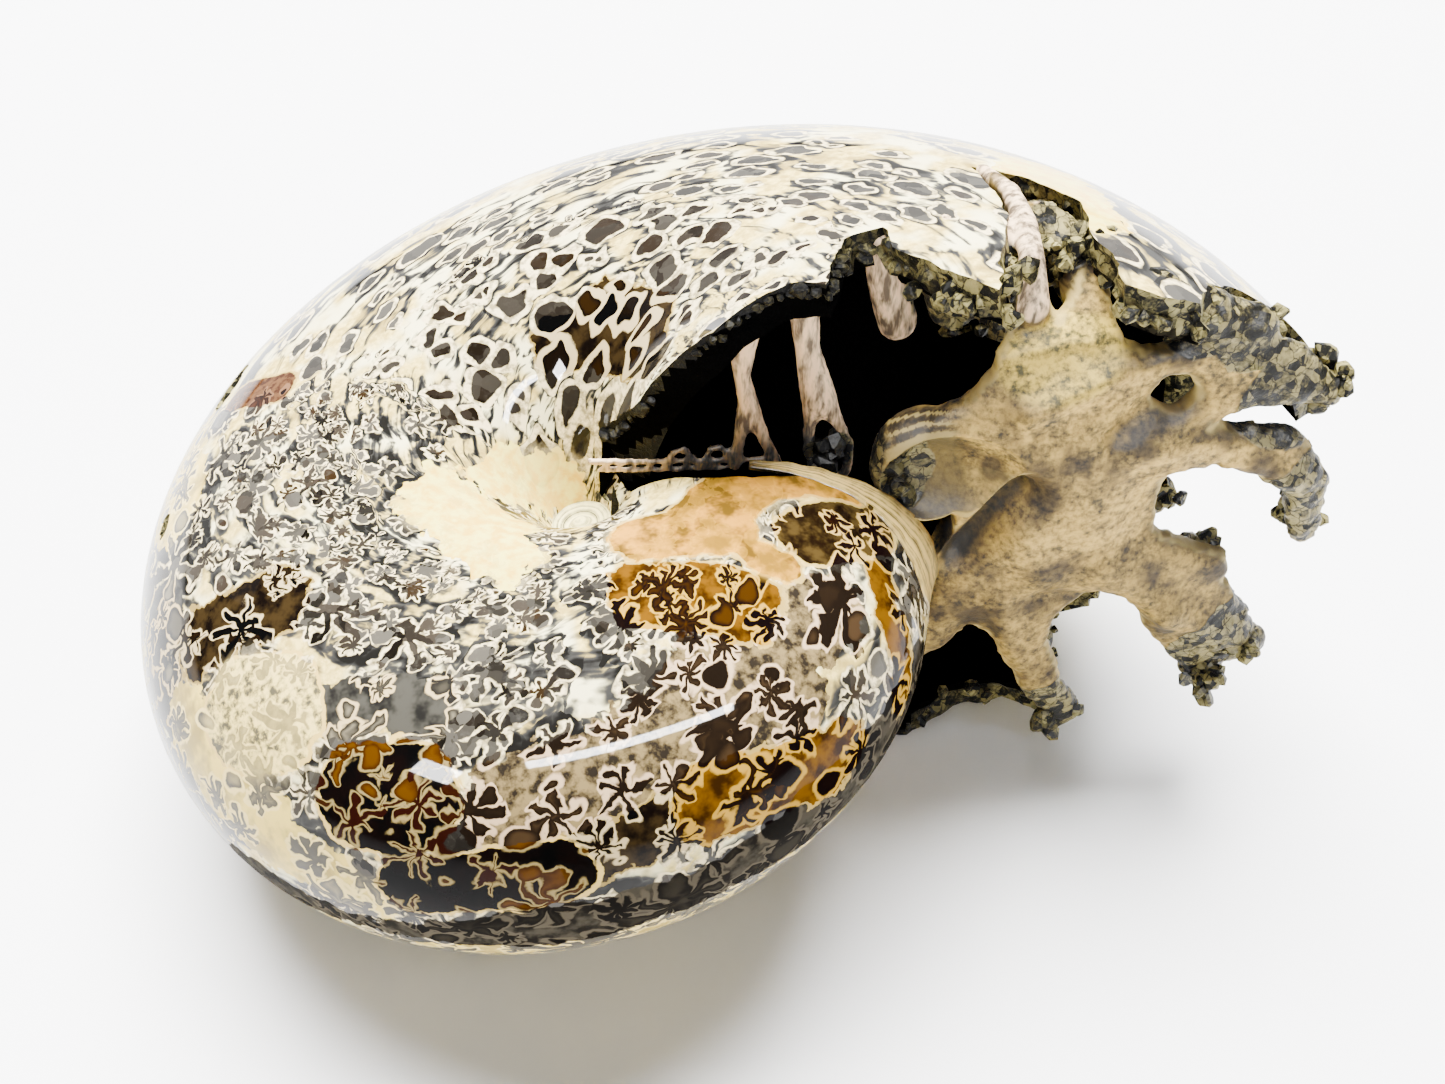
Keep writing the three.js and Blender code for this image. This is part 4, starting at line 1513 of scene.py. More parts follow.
@dataclass
class LastPartition:
    """The last partition: a folded sheet with branching arms, its struts and its ears.

    A point of the sheet is given in the seam's half plane, by its distance out from the axis
    and its height. The sheet stands a little forward of that plane, the way the shell grows.
    """

    coil: Coil = COIL
    cell: float = 0.6
    low: tuple[float, float] = (19.0, -36.0)
    high: tuple[float, float] = (73.0, 41.0)
    seam_turn: float = 360.0
    bulge: float = 2.5
    lean_begins: float = 20.0
    lean: float = 0.62
    web: float = 2.2
    drift_out: float = -0.169
    drift_up: float = 0.9
    rim_thickness: float = 0.45
    front_thickness: float = 1.0
    back_thickness: float = 1.9
    rounding: float = 3.2
    voxel: float = 0.32
    hole: tuple[float, float, float] = (53.1, 13.1, 1.9)
    ear: tuple = ((31.7, 0.9, 9.8), (4.8, 3.4, 6.2))
    crust: tuple = ((43.5, 19.5), (6.0, 4.6))
    hollows: tuple = (
        ((34.6, 5, 9.7), (7.6, 3.5, 5.3), 0, 25),
        ((31.9, 1.5, 1.7), (1.3, 6, 2.6), -28, 0),
    )
    arms: tuple = (
        ((41, 9, 7.5), (44, 2, 8), (41, -5, 6)),
        ((40.2, 36, 1), (41.6, 28, 0.9), (41.4, 22, 1.9), (41, 15, 3.5)),
        ((46.9, 30.5, 0.8), (46.4, 25, 1.3), (46, 18, 3)),
        ((47, 13, 5), (56, 14.2, 3.4), (62, 13, 3), (66, 10.5, 1.4)),
        ((56, 14, 3.5), (59, 18.5, 2.2)),
        ((49, 8, 3.5), (57, 6.2, 2), (62, 4.3, 2.6), (65, 0, 2.1), (65.3, -6.5, 1.2)),
        ((45, -3, 5), (52, -9, 3.2), (56, -15, 3.8), (61.2, -20.6, 1.9)),
        ((55, -15, 3.4), (57.2, -24, 1.7)),
        ((53, -8, 3), (57, -8.6, 1.6)),
        ((39, -6, 5), (39.6, -16, 2.4), (41.3, -23, 2), (43.4, -27.5, 1.6), (40.8, -29.6, 1)),
        ((36, -5, 4), (31, -12, 2.6), (24, -17, 2)),
        ((38, 10.5, 4.4), (34.5, 10.2, 4.5)),
        ((37, 0, 3), (32.0, -2, 1.0)),
    )
    relief: tuple = (
        ((53.5, 19), (41, 14.5), 1.4, 1.2),
        ((45, 2), (44, 8), 6.5, 1.1),
        ((33.6, -1.9), (39.8, 5.4), 1.8, -2.8),
        ((32.4, -1.8), (39, 7), 0.7, 0.8),
        ((50, 8.4), (66, 9.3), 2, 1),
        ((43.5, 20), (47, 20.5), 3.6, -1.1),
        ((50.5, 3), (50, -2), 2.4, -0.8),
        ((39.5, 0.5), (41, -5), 2, 0.7),
        ((52, 5), (63.7, 1.6), 1.6, 0.8),
        ((47, -6), (52.5, -13), 1.9, 0.9),
        ((52.5, -13), (60, -18.5), 1.7, 0.9),
        ((41, -8.6), (48.5, -10.2), 1, -0.7),
        ((37.6, -8), (38.6, -26), 1.4, 0.7),
        ((34, -12), (35.6, -20), 1.4, -0.8),
        ((50, 12.6), (48, 10.5), 1.2, -1),
    )
    crystal_places: tuple = (
        (359.5, 63.5, 12, 6.5), (359.5, 58.5, 19, 4.5), (359, 64.5, -1, 6.4),
        (359, 65.5, -7, 4.6), (361, 60, -19, 7), (362, 57, -24, 5),
        (359, 57, -8.6, 2.2), (361, 42.5, -28, 7.6), (360, 34, -20, 3),
        (352, 38.5, 23, 6.2), (350, 46, 24, 4.4), (362, 51, 25.5, 4),
        (361, 55.5, 22.5, 4.6), (361.2, 29.6, 9.5, 3.2), (355.5, 23.5, 11, 2.4),
        (361, 29.2, 7.4, 2.6), (361, 29.4, 12, 2.6),
    )
    limbs: tuple = (
        ((337, 43.9, 27, 0.7), (345, 43.4, 28, 0.9), (352, 42.6, 28.4, 1),
         (357.5, 42, 27.8, 1.1), (360, 41.6, 24, 1.5)),
        ((357.5, 2.4, 15.4, 0.35), (357.5, 6.8, 14.3, 0.3), (357.5, 19, 11.6, 0.3)),
        ((357.5, 3, 14.2, 0.3), (357.5, 8, 13, 0.3), (357.5, 14, 11.8, 0.3)),
        ((357.5, 9, 13, 0.3), (357.5, 9.8, 14.6, 0.32), (357.5, 11, 14.8, 0.32),
         (357.5, 11.8, 12.8, 0.3)),
        ((357.5, 12.4, 12.8, 0.3), (357.5, 13.2, 14.2, 0.32), (357.5, 14.2, 14.2, 0.32),
         (357.5, 15, 12.2, 0.3)),
        ((351, 36, 28, 2.6), (352, 36, 21.8, 2)),
        ((352, 39.6, 27, 2.8), (353, 40.2, 19.6, 2)),
        ((347, 45, 25.2, 2.3), (352, 46.6, 23.6, 2.4), (357, 46.5, 22.5, 2)),
        ((362, 50.5, 24.8, 2.4), (361, 55, 21.6, 2.3), (360, 59.5, 17.8, 2)),
        ((357.5, 18.2, 27.3, 1.9), (357.5, 17.7, 24.6, 1.2), (357.5, 17.2, 21.5, 0.75),
         (357.5, 17.3, 18.8, 0.9), (357.5, 16, 15, 0.6), (357.5, 15.1, 11.8, 0.55)),
        ((357.5, 17.3, 18.8, 0.9), (357.5, 18, 14.6, 0.6), (357.5, 18.9, 10.4, 0.6)),
        ((355.5, 23.6, 28.6, 2), (355.5, 23.3, 26, 1.3), (355.5, 23.1, 22.5, 1.1),
         (355.5, 23.4, 17.3, 1.6), (355.5, 22.3, 14.4, 0.6), (355.5, 21.7, 11.5, 0.5),
         (355.5, 22.2, 8.4, 0.5), (355.5, 23.4, 6.6, 0.6)),
        ((355.5, 23.4, 17.3, 1.6), (355.5, 24.7, 14, 0.6), (355.5, 25.5, 10.9, 0.5),
         (355.5, 24.9, 8, 0.5), (355.5, 23.4, 6.6, 0.6)),
        ((348.5, 31, 29, 1.6), (348, 31.2, 25, 1.7), (347, 31.9, 19.8, 1.8)),
        ((356, 19, -27.2, 2.2), (356, 18.5, -20, 1.3), (356, 19, -11, 2.6)),
        ((353, 25, -28, 2.6), (353, 24.5, -19, 1.5), (353, 25, -8, 2.8)),
    )

    def outline_distance(self, x: np.ndarray, y: np.ndarray) -> np.ndarray:
        """Gives the distance to the sheet's outline, less than nothing inside it.

        Args:
            x: How far out points of the sheet are.
            y: Their heights.

        Returns:
            The distances.
        """
        total = np.zeros_like(x)
        for arm in self.arms:
            nearest = np.full_like(x, FAR)
            for (*start, wide), (*end, end_wide) in zip(arm, arm[1:]):
                along, gap = line_gap(x, y, start, end)
                nearest = np.minimum(nearest, gap - (wide + along * (end_wide - wide)))
            total += np.exp(-nearest / self.web * 2.0)
        web = -np.log(total) * self.web / 2.0
        x0, y0, size = self.hole
        ragged = 0.22 * np.sin(x * 3.1 + 1.7 * np.sin(y * 2.3)) * np.sin(y * 2.7 + x)
        return np.maximum(web, size - np.hypot(x - x0, y - y0)) + ragged

    def forward(self, x: np.ndarray, y: np.ndarray) -> np.ndarray:
        """Gives how far forward the sheet stands, without its small folds.

        Args:
            x: How far out points of the sheet are.
            y: Their heights.

        Returns:
            How far forward each one stands.
        """
        outward = np.hypot(x - 43.0, (y - 3.0) * 0.7)
        lean = self.lean * np.maximum(0.0, y - self.lean_begins)
        return self.bulge - 0.004 * outward ** 2 - lean

    def folds(self, x: np.ndarray, y: np.ndarray) -> np.ndarray:
        """Gives the height of the ridges and hollows on the front of the sheet.

        Args:
            x: How far out points of the sheet are.
            y: Their heights.

        Returns:
            The height at each one.
        """
        height = np.zeros_like(x)
        for start, end, width, rise in self.relief:
            gap = line_gap(x, y, start, end)[1]
            height += rise * np.exp(-(gap / width) ** 2)
        return height

    def axes(self) -> tuple[Vector, Vector]:
        """Gives the directions out from the axis and ahead, at the seam."""
        out = self.coil.place(self.seam_turn, 1.0, 0.0)
        return out, Vector((-out.y, out.x, 0.0)) * -1.0

    def sheet(self, shape: BMesh) -> None:
        """Adds the folded sheet, cut to its outline and closed all round.

        Args:
            shape: The bmesh that it is added to.
        """
        width, height = self.high[0] - self.low[0], self.high[1] - self.low[1]
        grid = bmesh.ops.create_grid(shape, x_segments=round(width / self.cell),
                                     y_segments=round(height / self.cell), size=0.5)
        for vertex in grid["verts"]:
            vertex.co.x = self.low[0] + (vertex.co.x + 0.5) * width
            vertex.co.y = self.low[1] + (vertex.co.y + 0.5) * height
        plan = np.array([vertex.co[:2] for vertex in shape.verts])
        depth = self.outline_distance(plan[:, 0], plan[:, 1])
        outer = [vertex for vertex, gap in zip(shape.verts, depth) if gap > 0.0]
        bmesh.ops.delete(shape, geom=outer, context="VERTS")
        rim = [vertex for vertex in shape.verts if vertex.is_boundary]
        for vertex in rim:
            self.snap(vertex)
        grown = bmesh.ops.extrude_face_region(shape, geom=shape.faces[:], use_keep_orig=True)
        front = {item for item in grown["geom"] if isinstance(item, BMVert)}
        plan = np.array([vertex.co[:2] for vertex in shape.verts])
        depth = -self.outline_distance(plan[:, 0], plan[:, 1])
        inward = np.clip(depth / self.rounding, 0.0, 1.0)
        round_part = np.sqrt(1.0 - (1.0 - inward) ** 2)
        base = self.forward(plan[:, 0], plan[:, 1])
        fold = self.folds(plan[:, 0], plan[:, 1])
        out, ahead = self.axes()
        for vertex, stands, lifted, swelling in zip(shape.verts, base, fold, round_part):
            x, y = vertex.co.x, vertex.co.y
            thick = self.front_thickness if vertex in front else -self.back_thickness
            rim_part = math.copysign(self.rim_thickness, thick)
            level = stands + rim_part + (thick + lifted) * swelling
            place = out * (x + self.drift_out * stands)
            vertex.co = place + ahead * level + Vector((0.0, 0.0, y + self.drift_up * stands))

    def snap(self, vertex: BMVert) -> None:
        """Moves a vertex of the cut grid onto the outline.

        Args:
            vertex: The vertex.
        """
        step = 0.05
        x, y = vertex.co.x, vertex.co.y
        here, right, above = self.outline_distance(np.array([x, x + step, x]),
                                                   np.array([y, y, y + step]))
        slope = Vector(((right - here) / step, (above - here) / step))
        if slope.length > 0.2:
            shift = slope.normalized() * min(self.cell, -here / slope.length)
            vertex.co.x += shift.x
            vertex.co.y += shift.y

    def limb(self, shape: BMesh, stations: tuple) -> None:
        """Adds a limb through stations, each a turn, a distance out, a height and a radius.

        Args:
            shape: The bmesh that it is added to.
            stations: The stations.
        """
        points = [(self.coil.place(*station[:3]), station[3]) for station in stations]
        for point, radius in points:
            bmesh.ops.create_icosphere(shape, subdivisions=2, radius=radius,
                                       matrix=Matrix.Translation(point))
        for (start, thick), (end, thin) in zip(points, points[1:]):
            line = end - start
            aim = line.to_track_quat("Z", "Y").to_matrix().to_4x4()
            matrix = Matrix.Translation((start + end) / 2.0) @ aim
            bmesh.ops.create_cone(shape, cap_ends=True, segments=14, radius1=thick,
                                  radius2=thin, depth=line.length, matrix=matrix)

    def ball_matrix(self, place: tuple, size: tuple, tilt: float = 0.0,
                    yaw: float = 0.0) -> Matrix:
        """Gives the matrix that makes a ball of radius 1 a stretched ball at the seam.

        Args:
            place: How far out, how far ahead of the seam and how high its middle is.
            size: Its half sizes the same three ways.
            tilt: How far its top is turned away from the axis, in degrees.
            yaw: How far its outer end is turned ahead, in degrees.

        Returns:
            The matrix, to the coil's frame.
        """
        out, ahead = self.axes()
        middle = out * place[0] + ahead * place[1] + Vector((0.0, 0.0, place[2]))
        turned = Matrix.Rotation(-math.radians(self.seam_turn + self.coil.start_bearing + yaw),
                                 4, "Z")
        turned = turned @ Matrix.Rotation(math.radians(-tilt), 4, "Y")
        return Matrix.Translation(middle) @ turned @ Matrix.Diagonal((*size, 1.0))

    def ball(self, *where) -> Object:
        """Makes a stretched ball at the seam.

        Args:
            where: What ball_matrix takes.

        Returns:
            The object.
        """
        shape = bmesh.new()
        bmesh.ops.create_uvsphere(shape, u_segments=64, v_segments=40, radius=1.0,
                                  matrix=self.ball_matrix(*where))
        return new_object("ball", shape)

    def build(self) -> Object:
        """Makes the partition with its limbs and its ear, fused in one skin.

        Returns:
            The partition.
        """
        shape = bmesh.new()
        self.sheet(shape)
        for stations in self.limbs:
            self.limb(shape, stations)
        ear = self.ball(*self.ear)
        shape.from_mesh(ear.data)
        bpy.data.objects.remove(ear)
        bmesh.ops.recalc_face_normals(shape, faces=shape.faces)
        made = new_object("last_partition", shape)
        fuse = made.modifiers.new("fuse", "REMESH")
        fuse.mode = "VOXEL"
        fuse.voxel_size = self.voxel
        apply_modifiers(made)
        for hollow in self.hollows:
            combine(made, self.ball(*hollow), Join.CUT)
        soften = made.modifiers.new("soften", "SMOOTH")
        soften.factor = 0.5
        soften.iterations = 3
        apply_modifiers(made)
        self.finish_surface(made)
        return made

    def sheet_places(self, points: np.ndarray) -> tuple[np.ndarray, np.ndarray, np.ndarray]:
        """Finds where points lie on the sheet.

        Args:
            points: Points in the coil's frame, one row each.

        Returns:
            Their x and y in the seam's half plane, and how far ahead of the sheet they are.
        """
        out_axis, ahead_axis = self.axes()
        out = points @ np.array(out_axis)
        ahead = points @ np.array(ahead_axis)
        x, y = out.copy(), points[:, 2].copy()
        for _ in range(6):
            stands = self.forward(x, y)
            x = out - self.drift_out * stands
            y = points[:, 2] - self.drift_up * stands
        return x, y, ahead - self.forward(x, y) - self.folds(x, y)

    def marks(self, points: np.ndarray) -> dict[str, np.ndarray]:
        """Finds what the skin is like at points of the partition.

        Args:
            points: Points in the coil's frame, one row each.

        Returns:
            How strong each of the material's marks is at each point, by the mark's name.
        """
        x, y, ahead = self.sheet_places(points)
        outer = self.outline_distance(x, y)
        ear_x, _, ear_y = self.ear[0]
        ear = np.hypot(x - ear_x, (y - ear_y) * 0.8) < 6.0
        inward = np.array(self.ball_matrix(*self.hollows[0]).inverted())
        cup = points @ inward[:3, :3].T + inward[:3, 3]
        level = np.linalg.norm(cup, axis=1)
        left = ramp(cup[:, 0], 0.1, -0.2)
        below = ramp(cup[:, 2], 0.15, -0.05) * (np.abs(ahead) < 5.0)
        edge = np.exp(-((level - 1.06) / 0.07) ** 4) * np.maximum(left, below)
        wave = np.sin((level - 1.04) * 36.0)
        lines = 0.85 * (wave > 0.2) * (level > 1.1) * (level < 1.5) * left * ear
        grooves = 1.4 * (wave < -0.1) * (level > 1.05) * (level < 1.5) * left * ear
        scoop = 1.5 * ramp(level, 1.03, 1.0) * (level > 0.9) * left
        rim = np.exp(-np.abs(outer) / 0.6) * (np.abs(ahead) < 3.0)
        rim = np.where(ear | (level < 1.3), 0.0, rim)
        away = np.maximum(outer - 0.8, np.abs(ahead + 0.4) - 3.4)
        away = np.where((level < 1.6) | ear, -1.0, away)
        border = ramp(outer, -1.65, -0.15) * (x > 38.0) * (np.abs(ahead) < 4.0)
        # Painted shade, stored as the dent shade: darker in the hollows between the folds, inside
        # the ear's cup, towards the bottom and along the arms' edges. It also holds the dark lines
        # between the ear's cream lines.
        dent_shades = (-self.folds(x, y), grooves, scoop, ramp(y, 4.0, -6.0), 1.5 * border)
        crystal = ramp(ahead, -1.5, -2.3) * (x > 42.0) * (ahead > -5.0)
        for turn, out, height, reach in self.crystal_places:
            gap = np.linalg.norm(points - np.array(self.coil.place(turn, out, height)), axis=1)
            crystal = np.maximum(crystal, ramp(gap, reach + 0.75, reach - 0.75))
        (crust_x, crust_y), (crust_wide, crust_high) = self.crust
        crust = ((x - crust_x) / crust_wide) ** 2 + ((y - crust_y) / crust_high) ** 2
        return {"crystal": crystal, "rim": np.maximum.reduce((rim, edge, lines)),
                "crust": np.exp(-crust ** 2), "pale": ramp(away, 0.0, 0.8),
                "dent_shade": np.maximum.reduce(dent_shades), "shaded": np.zeros(len(points))}

    def finish_surface(self, made: Object) -> None:
        """Roughens the skin and stores its marks.

        Args:
            made: The partition, in the coil's frame.
        """
        mesh = made.data
        mesh.materials.clear()
        points = coordinates(mesh)
        marks = self.marks(points)
        shifts = np.zeros_like(points)
        for index, point in enumerate(points):
            where = Vector(point)
            fine = swell(where, 0.9) * 0.05
            broken = rough_shift(where, 1.5, 0.34) * marks["crystal"][index]
            shifts[index] = fine + broken + swell(where, 1.1) * 0.16 * marks["crust"][index]
        mesh.vertices.foreach_set("co", (points + shifts).astype(np.float32).ravel())
        for name, values in marks.items():
            store(mesh, name, values)
        mesh.polygons.foreach_set("use_smooth", np.ones(len(mesh.polygons), bool))


@dataclass
class SeamLip:
    """The raised edge of the shell that wraps the keel of the turn inside, at the opening."""

    coil: Coil = COIL
    step: float = 1.3
    outer_turn: float = 5.5
    courses: int = 12
    stations: tuple = (
        (-78, 8, 0.3), (-60, 10, 0.4), (-30, 14, 0.9), (-5, 17, 1.25),
        (10, 18, 1.2), (24, 14.5, 0.9), (38, 11.5, 0.6), (50, 10, 0.4),
        (78, 8, 0.2),
    )

    def ring(self, around: float) -> list[tuple[Vector, float]]:
        """Gives the points of one cut through the lip, each with its share of the way out.

        Args:
            around: The cut's angle round the section.

        Returns:
            The points and shares.
        """
        arounds, turns, lifts = zip(*self.stations)
        inner = float(np.interp(around, arounds, turns))
        lift = float(np.interp(around, arounds, lifts))
        top, under = [], []
        for course in range(self.courses + 1):
            share = course / self.courses
            turn = inner + (self.outer_turn - inner) * share
            rise = lift * share ** 2.2 + 0.07 * math.sin(share * 19.0) * share
            top.append((self.coil.skin(turn, around, -rise - 0.06), share))
            depth = rise - (0.12 + 0.55 * math.sin(math.pi * min(1.0, share * 0.9)))
            under.append((self.coil.skin(turn, around, -min(depth, rise - 0.12)), share))
        return top + under[::-1]

    def build(self) -> Object:
        """Makes the lip as one closed strip.

        Returns:
            The lip.
        """
        shape = bmesh.new()
        shares = shape.verts.layers.float.new("across")
        first, last = self.stations[0][0], self.stations[-1][0]
        count = round((last - first) / self.step)
        rings = []
        for row in range(count + 1):
            ring = []
            for place, share in self.ring(first + (last - first) * row / count):
                vertex = shape.verts.new(place + swell(place, 1.6) * 0.12)
                vertex[shares] = share
                ring.append(vertex)
            rings.append(ring)
        for ring, following in zip(rings, rings[1:]):
            for i, vertex in enumerate(ring):
                j = (i + 1) % len(ring)
                shape.faces.new((vertex, ring[j], following[j], following[i]))
        shape.faces.new(rings[0])
        shape.faces.new(rings[-1])
        for face in shape.faces:
            face.smooth = len(face.verts) == 4
        bmesh.ops.recalc_face_normals(shape, faces=shape.faces)
        return new_object("seam_lip", shape)


@dataclass
class NavelEye:
    """The small pearly bead and rings that fill the navel on both sides."""

    radius: float = 4.3
    foot: float = 5.5
    steps: int = 96
    profile: tuple = (
        (0.0, 8.75), (0.45, 8.7), (0.85, 8.45), (1.15, 8.1), (1.35, 8.0), (1.6, 8.2), (1.8, 8.1),
        (2.05, 8.35), (2.25, 8.25), (2.55, 8.55), (2.8, 8.45), (3.15, 8.8), (3.4, 8.7),
        (3.75, 9.0), (4.3, 8.9),
    )

    def build(self) -> Object:
        """Makes both beads as closed turned forms in one mesh.

        Returns:
            The beads.
        """
        shape = bmesh.new()
        for side in (1.0, -1.0):
            places = [Vector((out, 0.0, side * height)) for out, height in self.profile]
            places += [Vector((self.radius, 0.0, side * self.foot)),
                       Vector((0.0, 0.0, side * self.foot))]
            line = [shape.verts.new(place) for place in places]
            edges = [shape.edges.new(pair) for pair in zip(line, line[1:])]
            bmesh.ops.spin(shape, geom=line + edges, axis=(0.0, 0.0, 1.0), cent=(0.0, 0.0, 0.0),
                           angle=2.0 * math.pi, steps=self.steps, use_merge=True)
        bmesh.ops.remove_doubles(shape, verts=shape.verts, dist=1e-4)
        bmesh.ops.recalc_face_normals(shape, faces=shape.faces)
        layer = shape.verts.layers.float.new("ring")
        for vertex in shape.verts:
            vertex[layer] = vertex.co.xy.length
            vertex.co += swell(vertex.co, 1.3) * 0.12
        for face in shape.faces:
            face.smooth = True
        return new_object("navel_eyes", shape)


@dataclass
class CrystalCrust:
    """The blunt crystals at the ends of the arms and along the broken wall."""

    coil: Coil = COIL
    seed: int = 41
    chip: float = 1.25
    planes: int = 7
    spread: float = 0.42
    thin_wall: float = 27.0
    thin_depth: tuple[float, float] = (0.5, 1.4)
    wall_depth: tuple[float, float] = (1.2, 3.6)
    thin_size: float = 0.72
    jitter: float = 0.35
    arm_ends: tuple = (
        (359, 65, 11, 2.6, 26), (359, 58.5, 18, 2.4, 20), (359, 64.5, 1, 2.0, 16),
        (359, 65, -5, 1.8, 16), (361, 60, -19, 2.4, 26), (362, 57, -22.5, 2.2, 20),
        (360, 57, -13, 1.6, 8), (360.5, 43, -26.5, 2.0, 18), (360, 56.5, -6.5, 1.4, 8),
        (358, 53, -1.0, 1.6, 12), (352, 49, 24.5, 2.6, 20), (355, 45, 25.0, 2.2, 16),
        (350, 37.6, 22.5, 3.0, 30), (361.3, 29.2, 8.0, 1.6, 12), (361.3, 29.3, 11.3, 1.6, 12),
        (355.5, 23.5, 11.0, 1.3, 14),
    )

    def chipped(self, shape: BMesh, centre: Vector, size: float,
                pick: random.Random) -> None:
        """Adds one crystal: a ball cut by a few flat planes.

        Args:
            shape: The bmesh that it is added to.
            centre: Its middle.
            size: The ball's radius.
            pick: Where its random numbers come from.
        """
        ball = bmesh.new()
        stretch = Matrix.Diagonal((1.0, 0.7 + 0.5 * pick.random(), 0.9 + 0.7 * pick.random(), 1.0))
        bmesh.ops.create_icosphere(ball, subdivisions=1, radius=size, matrix=stretch)
        for _ in range(self.planes):
            normal = Vector([pick.gauss(0.0, 1.0) for _ in range(3)]).normalized()
            cut = bmesh.ops.bisect_plane(ball, geom=ball.verts[:] + ball.edges[:] + ball.faces[:],
                                         plane_co=normal * size * (0.45 + 0.25 * pick.random()),
                                         plane_no=normal, clear_outer=True)
            edges = [item for item in cut["geom_cut"] if isinstance(item, BMEdge)]
            bmesh.ops.contextual_create(ball, geom=edges)
        turned = Matrix.Rotation(pick.uniform(0.0, 6.28), 4, Vector((1, pick.random(), 0.3)))
        bmesh.ops.transform(ball, verts=ball.verts, matrix=Matrix.Translation(centre) @ turned)
        mesh = bpy.data.meshes.new("chip")
        ball.to_mesh(mesh)
        ball.free()
        shape.from_mesh(mesh)
        bpy.data.meshes.remove(mesh)

    def wall_line(self, outline: tuple, side: float, step: float) -> list[tuple]:
        """Gives places along the broken wall, a step apart, each a turn, out and height.

        Args:
            outline: The wall's plan view.
            side: 1 above and -1 below.
            step: How far apart the places are.

        Returns:
            The places.
        """
        places = []
        for (turn, out), (next_turn, next_out) in zip(outline, outline[1:]):
            start, end = self.coil.place(turn, out, 0), self.coil.place(next_turn, next_out, 0)
            count = max(1, round((end - start).length / step))
            for i in range(count):
                t = turn + (next_turn - turn) * i / count
                r = out + (next_out - out) * i / count
                radius = self.coil.radius_at(t)
                middle = self.coil.thickest_at * radius
                across = (r - middle) / (radius - middle) if r > middle else (
                    (r - middle) / (middle - self.coil.navel_radius * radius))
                if abs(across) < 0.97:
                    rise = math.sqrt(1.0 - abs(across) ** self.coil.outer_roundness)
                    places.append((t, r, side * rise * self.coil.half_thickness * radius))
        return places

    def build(self, shell: PolishedShell) -> Object:
        """Makes all the crystals in one mesh.

        Args:
            shell: The shell whose broken wall they line.

        Returns:
            The crystals.
        """
        pick = random.Random(self.seed)
        shape = bmesh.new()
        for turn, out, height, reach, count in self.arm_ends:
            middle = self.coil.place(turn, out, height)
            for _ in range(count):
                offset = Vector([pick.gauss(0.0, self.spread) for _ in range(3)]) * reach
                self.chipped(shape, middle + offset, self.chip * pick.uniform(0.55, 1.05), pick)
        lines = (self.wall_line(shell.above[1:9], 1.0, 0.9),
                 self.wall_line(shell.above[8:26], 1.0, 1.3),
                 self.wall_line(shell.below[2:9], -1.0, 1.6),
                 self.wall_line(shell.lower_flank[:7], -1.0, 1.6))
        for line in lines:
            for turn, out, height in line:
                thin = out < self.thin_wall
                depth = pick.uniform(*(self.thin_depth if thin else self.wall_depth))
                level = height - math.copysign(depth, height)
                size = self.chip * pick.uniform(0.4, 1.1) * (self.thin_size if thin else 1.0)
                size = min(size, 0.6 * depth) if height < 0.0 else size
                shift = 0.0 if thin else self.jitter
                loose = Vector([pick.gauss(0.0, shift) for _ in range(2)] + [0.0])
                self.chipped(shape, self.coil.place(turn, out, level) + loose, size, pick)
        bmesh.ops.recalc_face_normals(shape, faces=shape.faces)
        made = new_object("crystals", shape)
        points = coordinates(made.data)
        out = np.hypot(points[:, 0], points[:, 1])
        # Painted shade: the crystals darken towards the axis, inside the hole.
        store(made.data, "shaded", np.minimum(ramp(out, 34.0, 26.0), 0.9))
        return made


@dataclass(frozen=True)
class Softbox:
    """A soft rectangular light that faces the object.

    Its azimuth is 0 in front and 90 at the right, in degrees. Its width and height, its
    distance from the object and the height that it aims at are in metres. It fills if it
    lights dull surfaces, and it glints if polished surfaces mirror it.
    """

    name: str
    azimuth: float
    elevation: float
    size: tuple[float, float]
    watts: float
    fills: bool = True
    glints: bool = True
    distance: float = 0.9
    aim_height: float = 0.03

    def build(self) -> Object:
        """Makes the light and places it.

        Returns:
            The light.
        """
        data = bpy.data.lights.new(self.name, "AREA")
        data.shape = "RECTANGLE"
        data.size, data.size_y = self.size
        data.energy = self.watts
        turned, raised = math.radians(self.azimuth), math.radians(self.elevation)
        towards = Vector((math.sin(turned) * math.cos(raised),
                          -math.cos(turned) * math.cos(raised), math.sin(raised)))
        made = bpy.data.objects.new(self.name, data)
        bpy.context.scene.collection.objects.link(made)
        made.visible_diffuse = self.fills
        made.visible_glossy = self.glints
        aim = towards.to_track_quat("Z", "Y").to_matrix().to_4x4()
        place = towards * self.distance + Vector((0, 0, self.aim_height))
        made.matrix_world = Matrix.Translation(place) @ aim
        return made


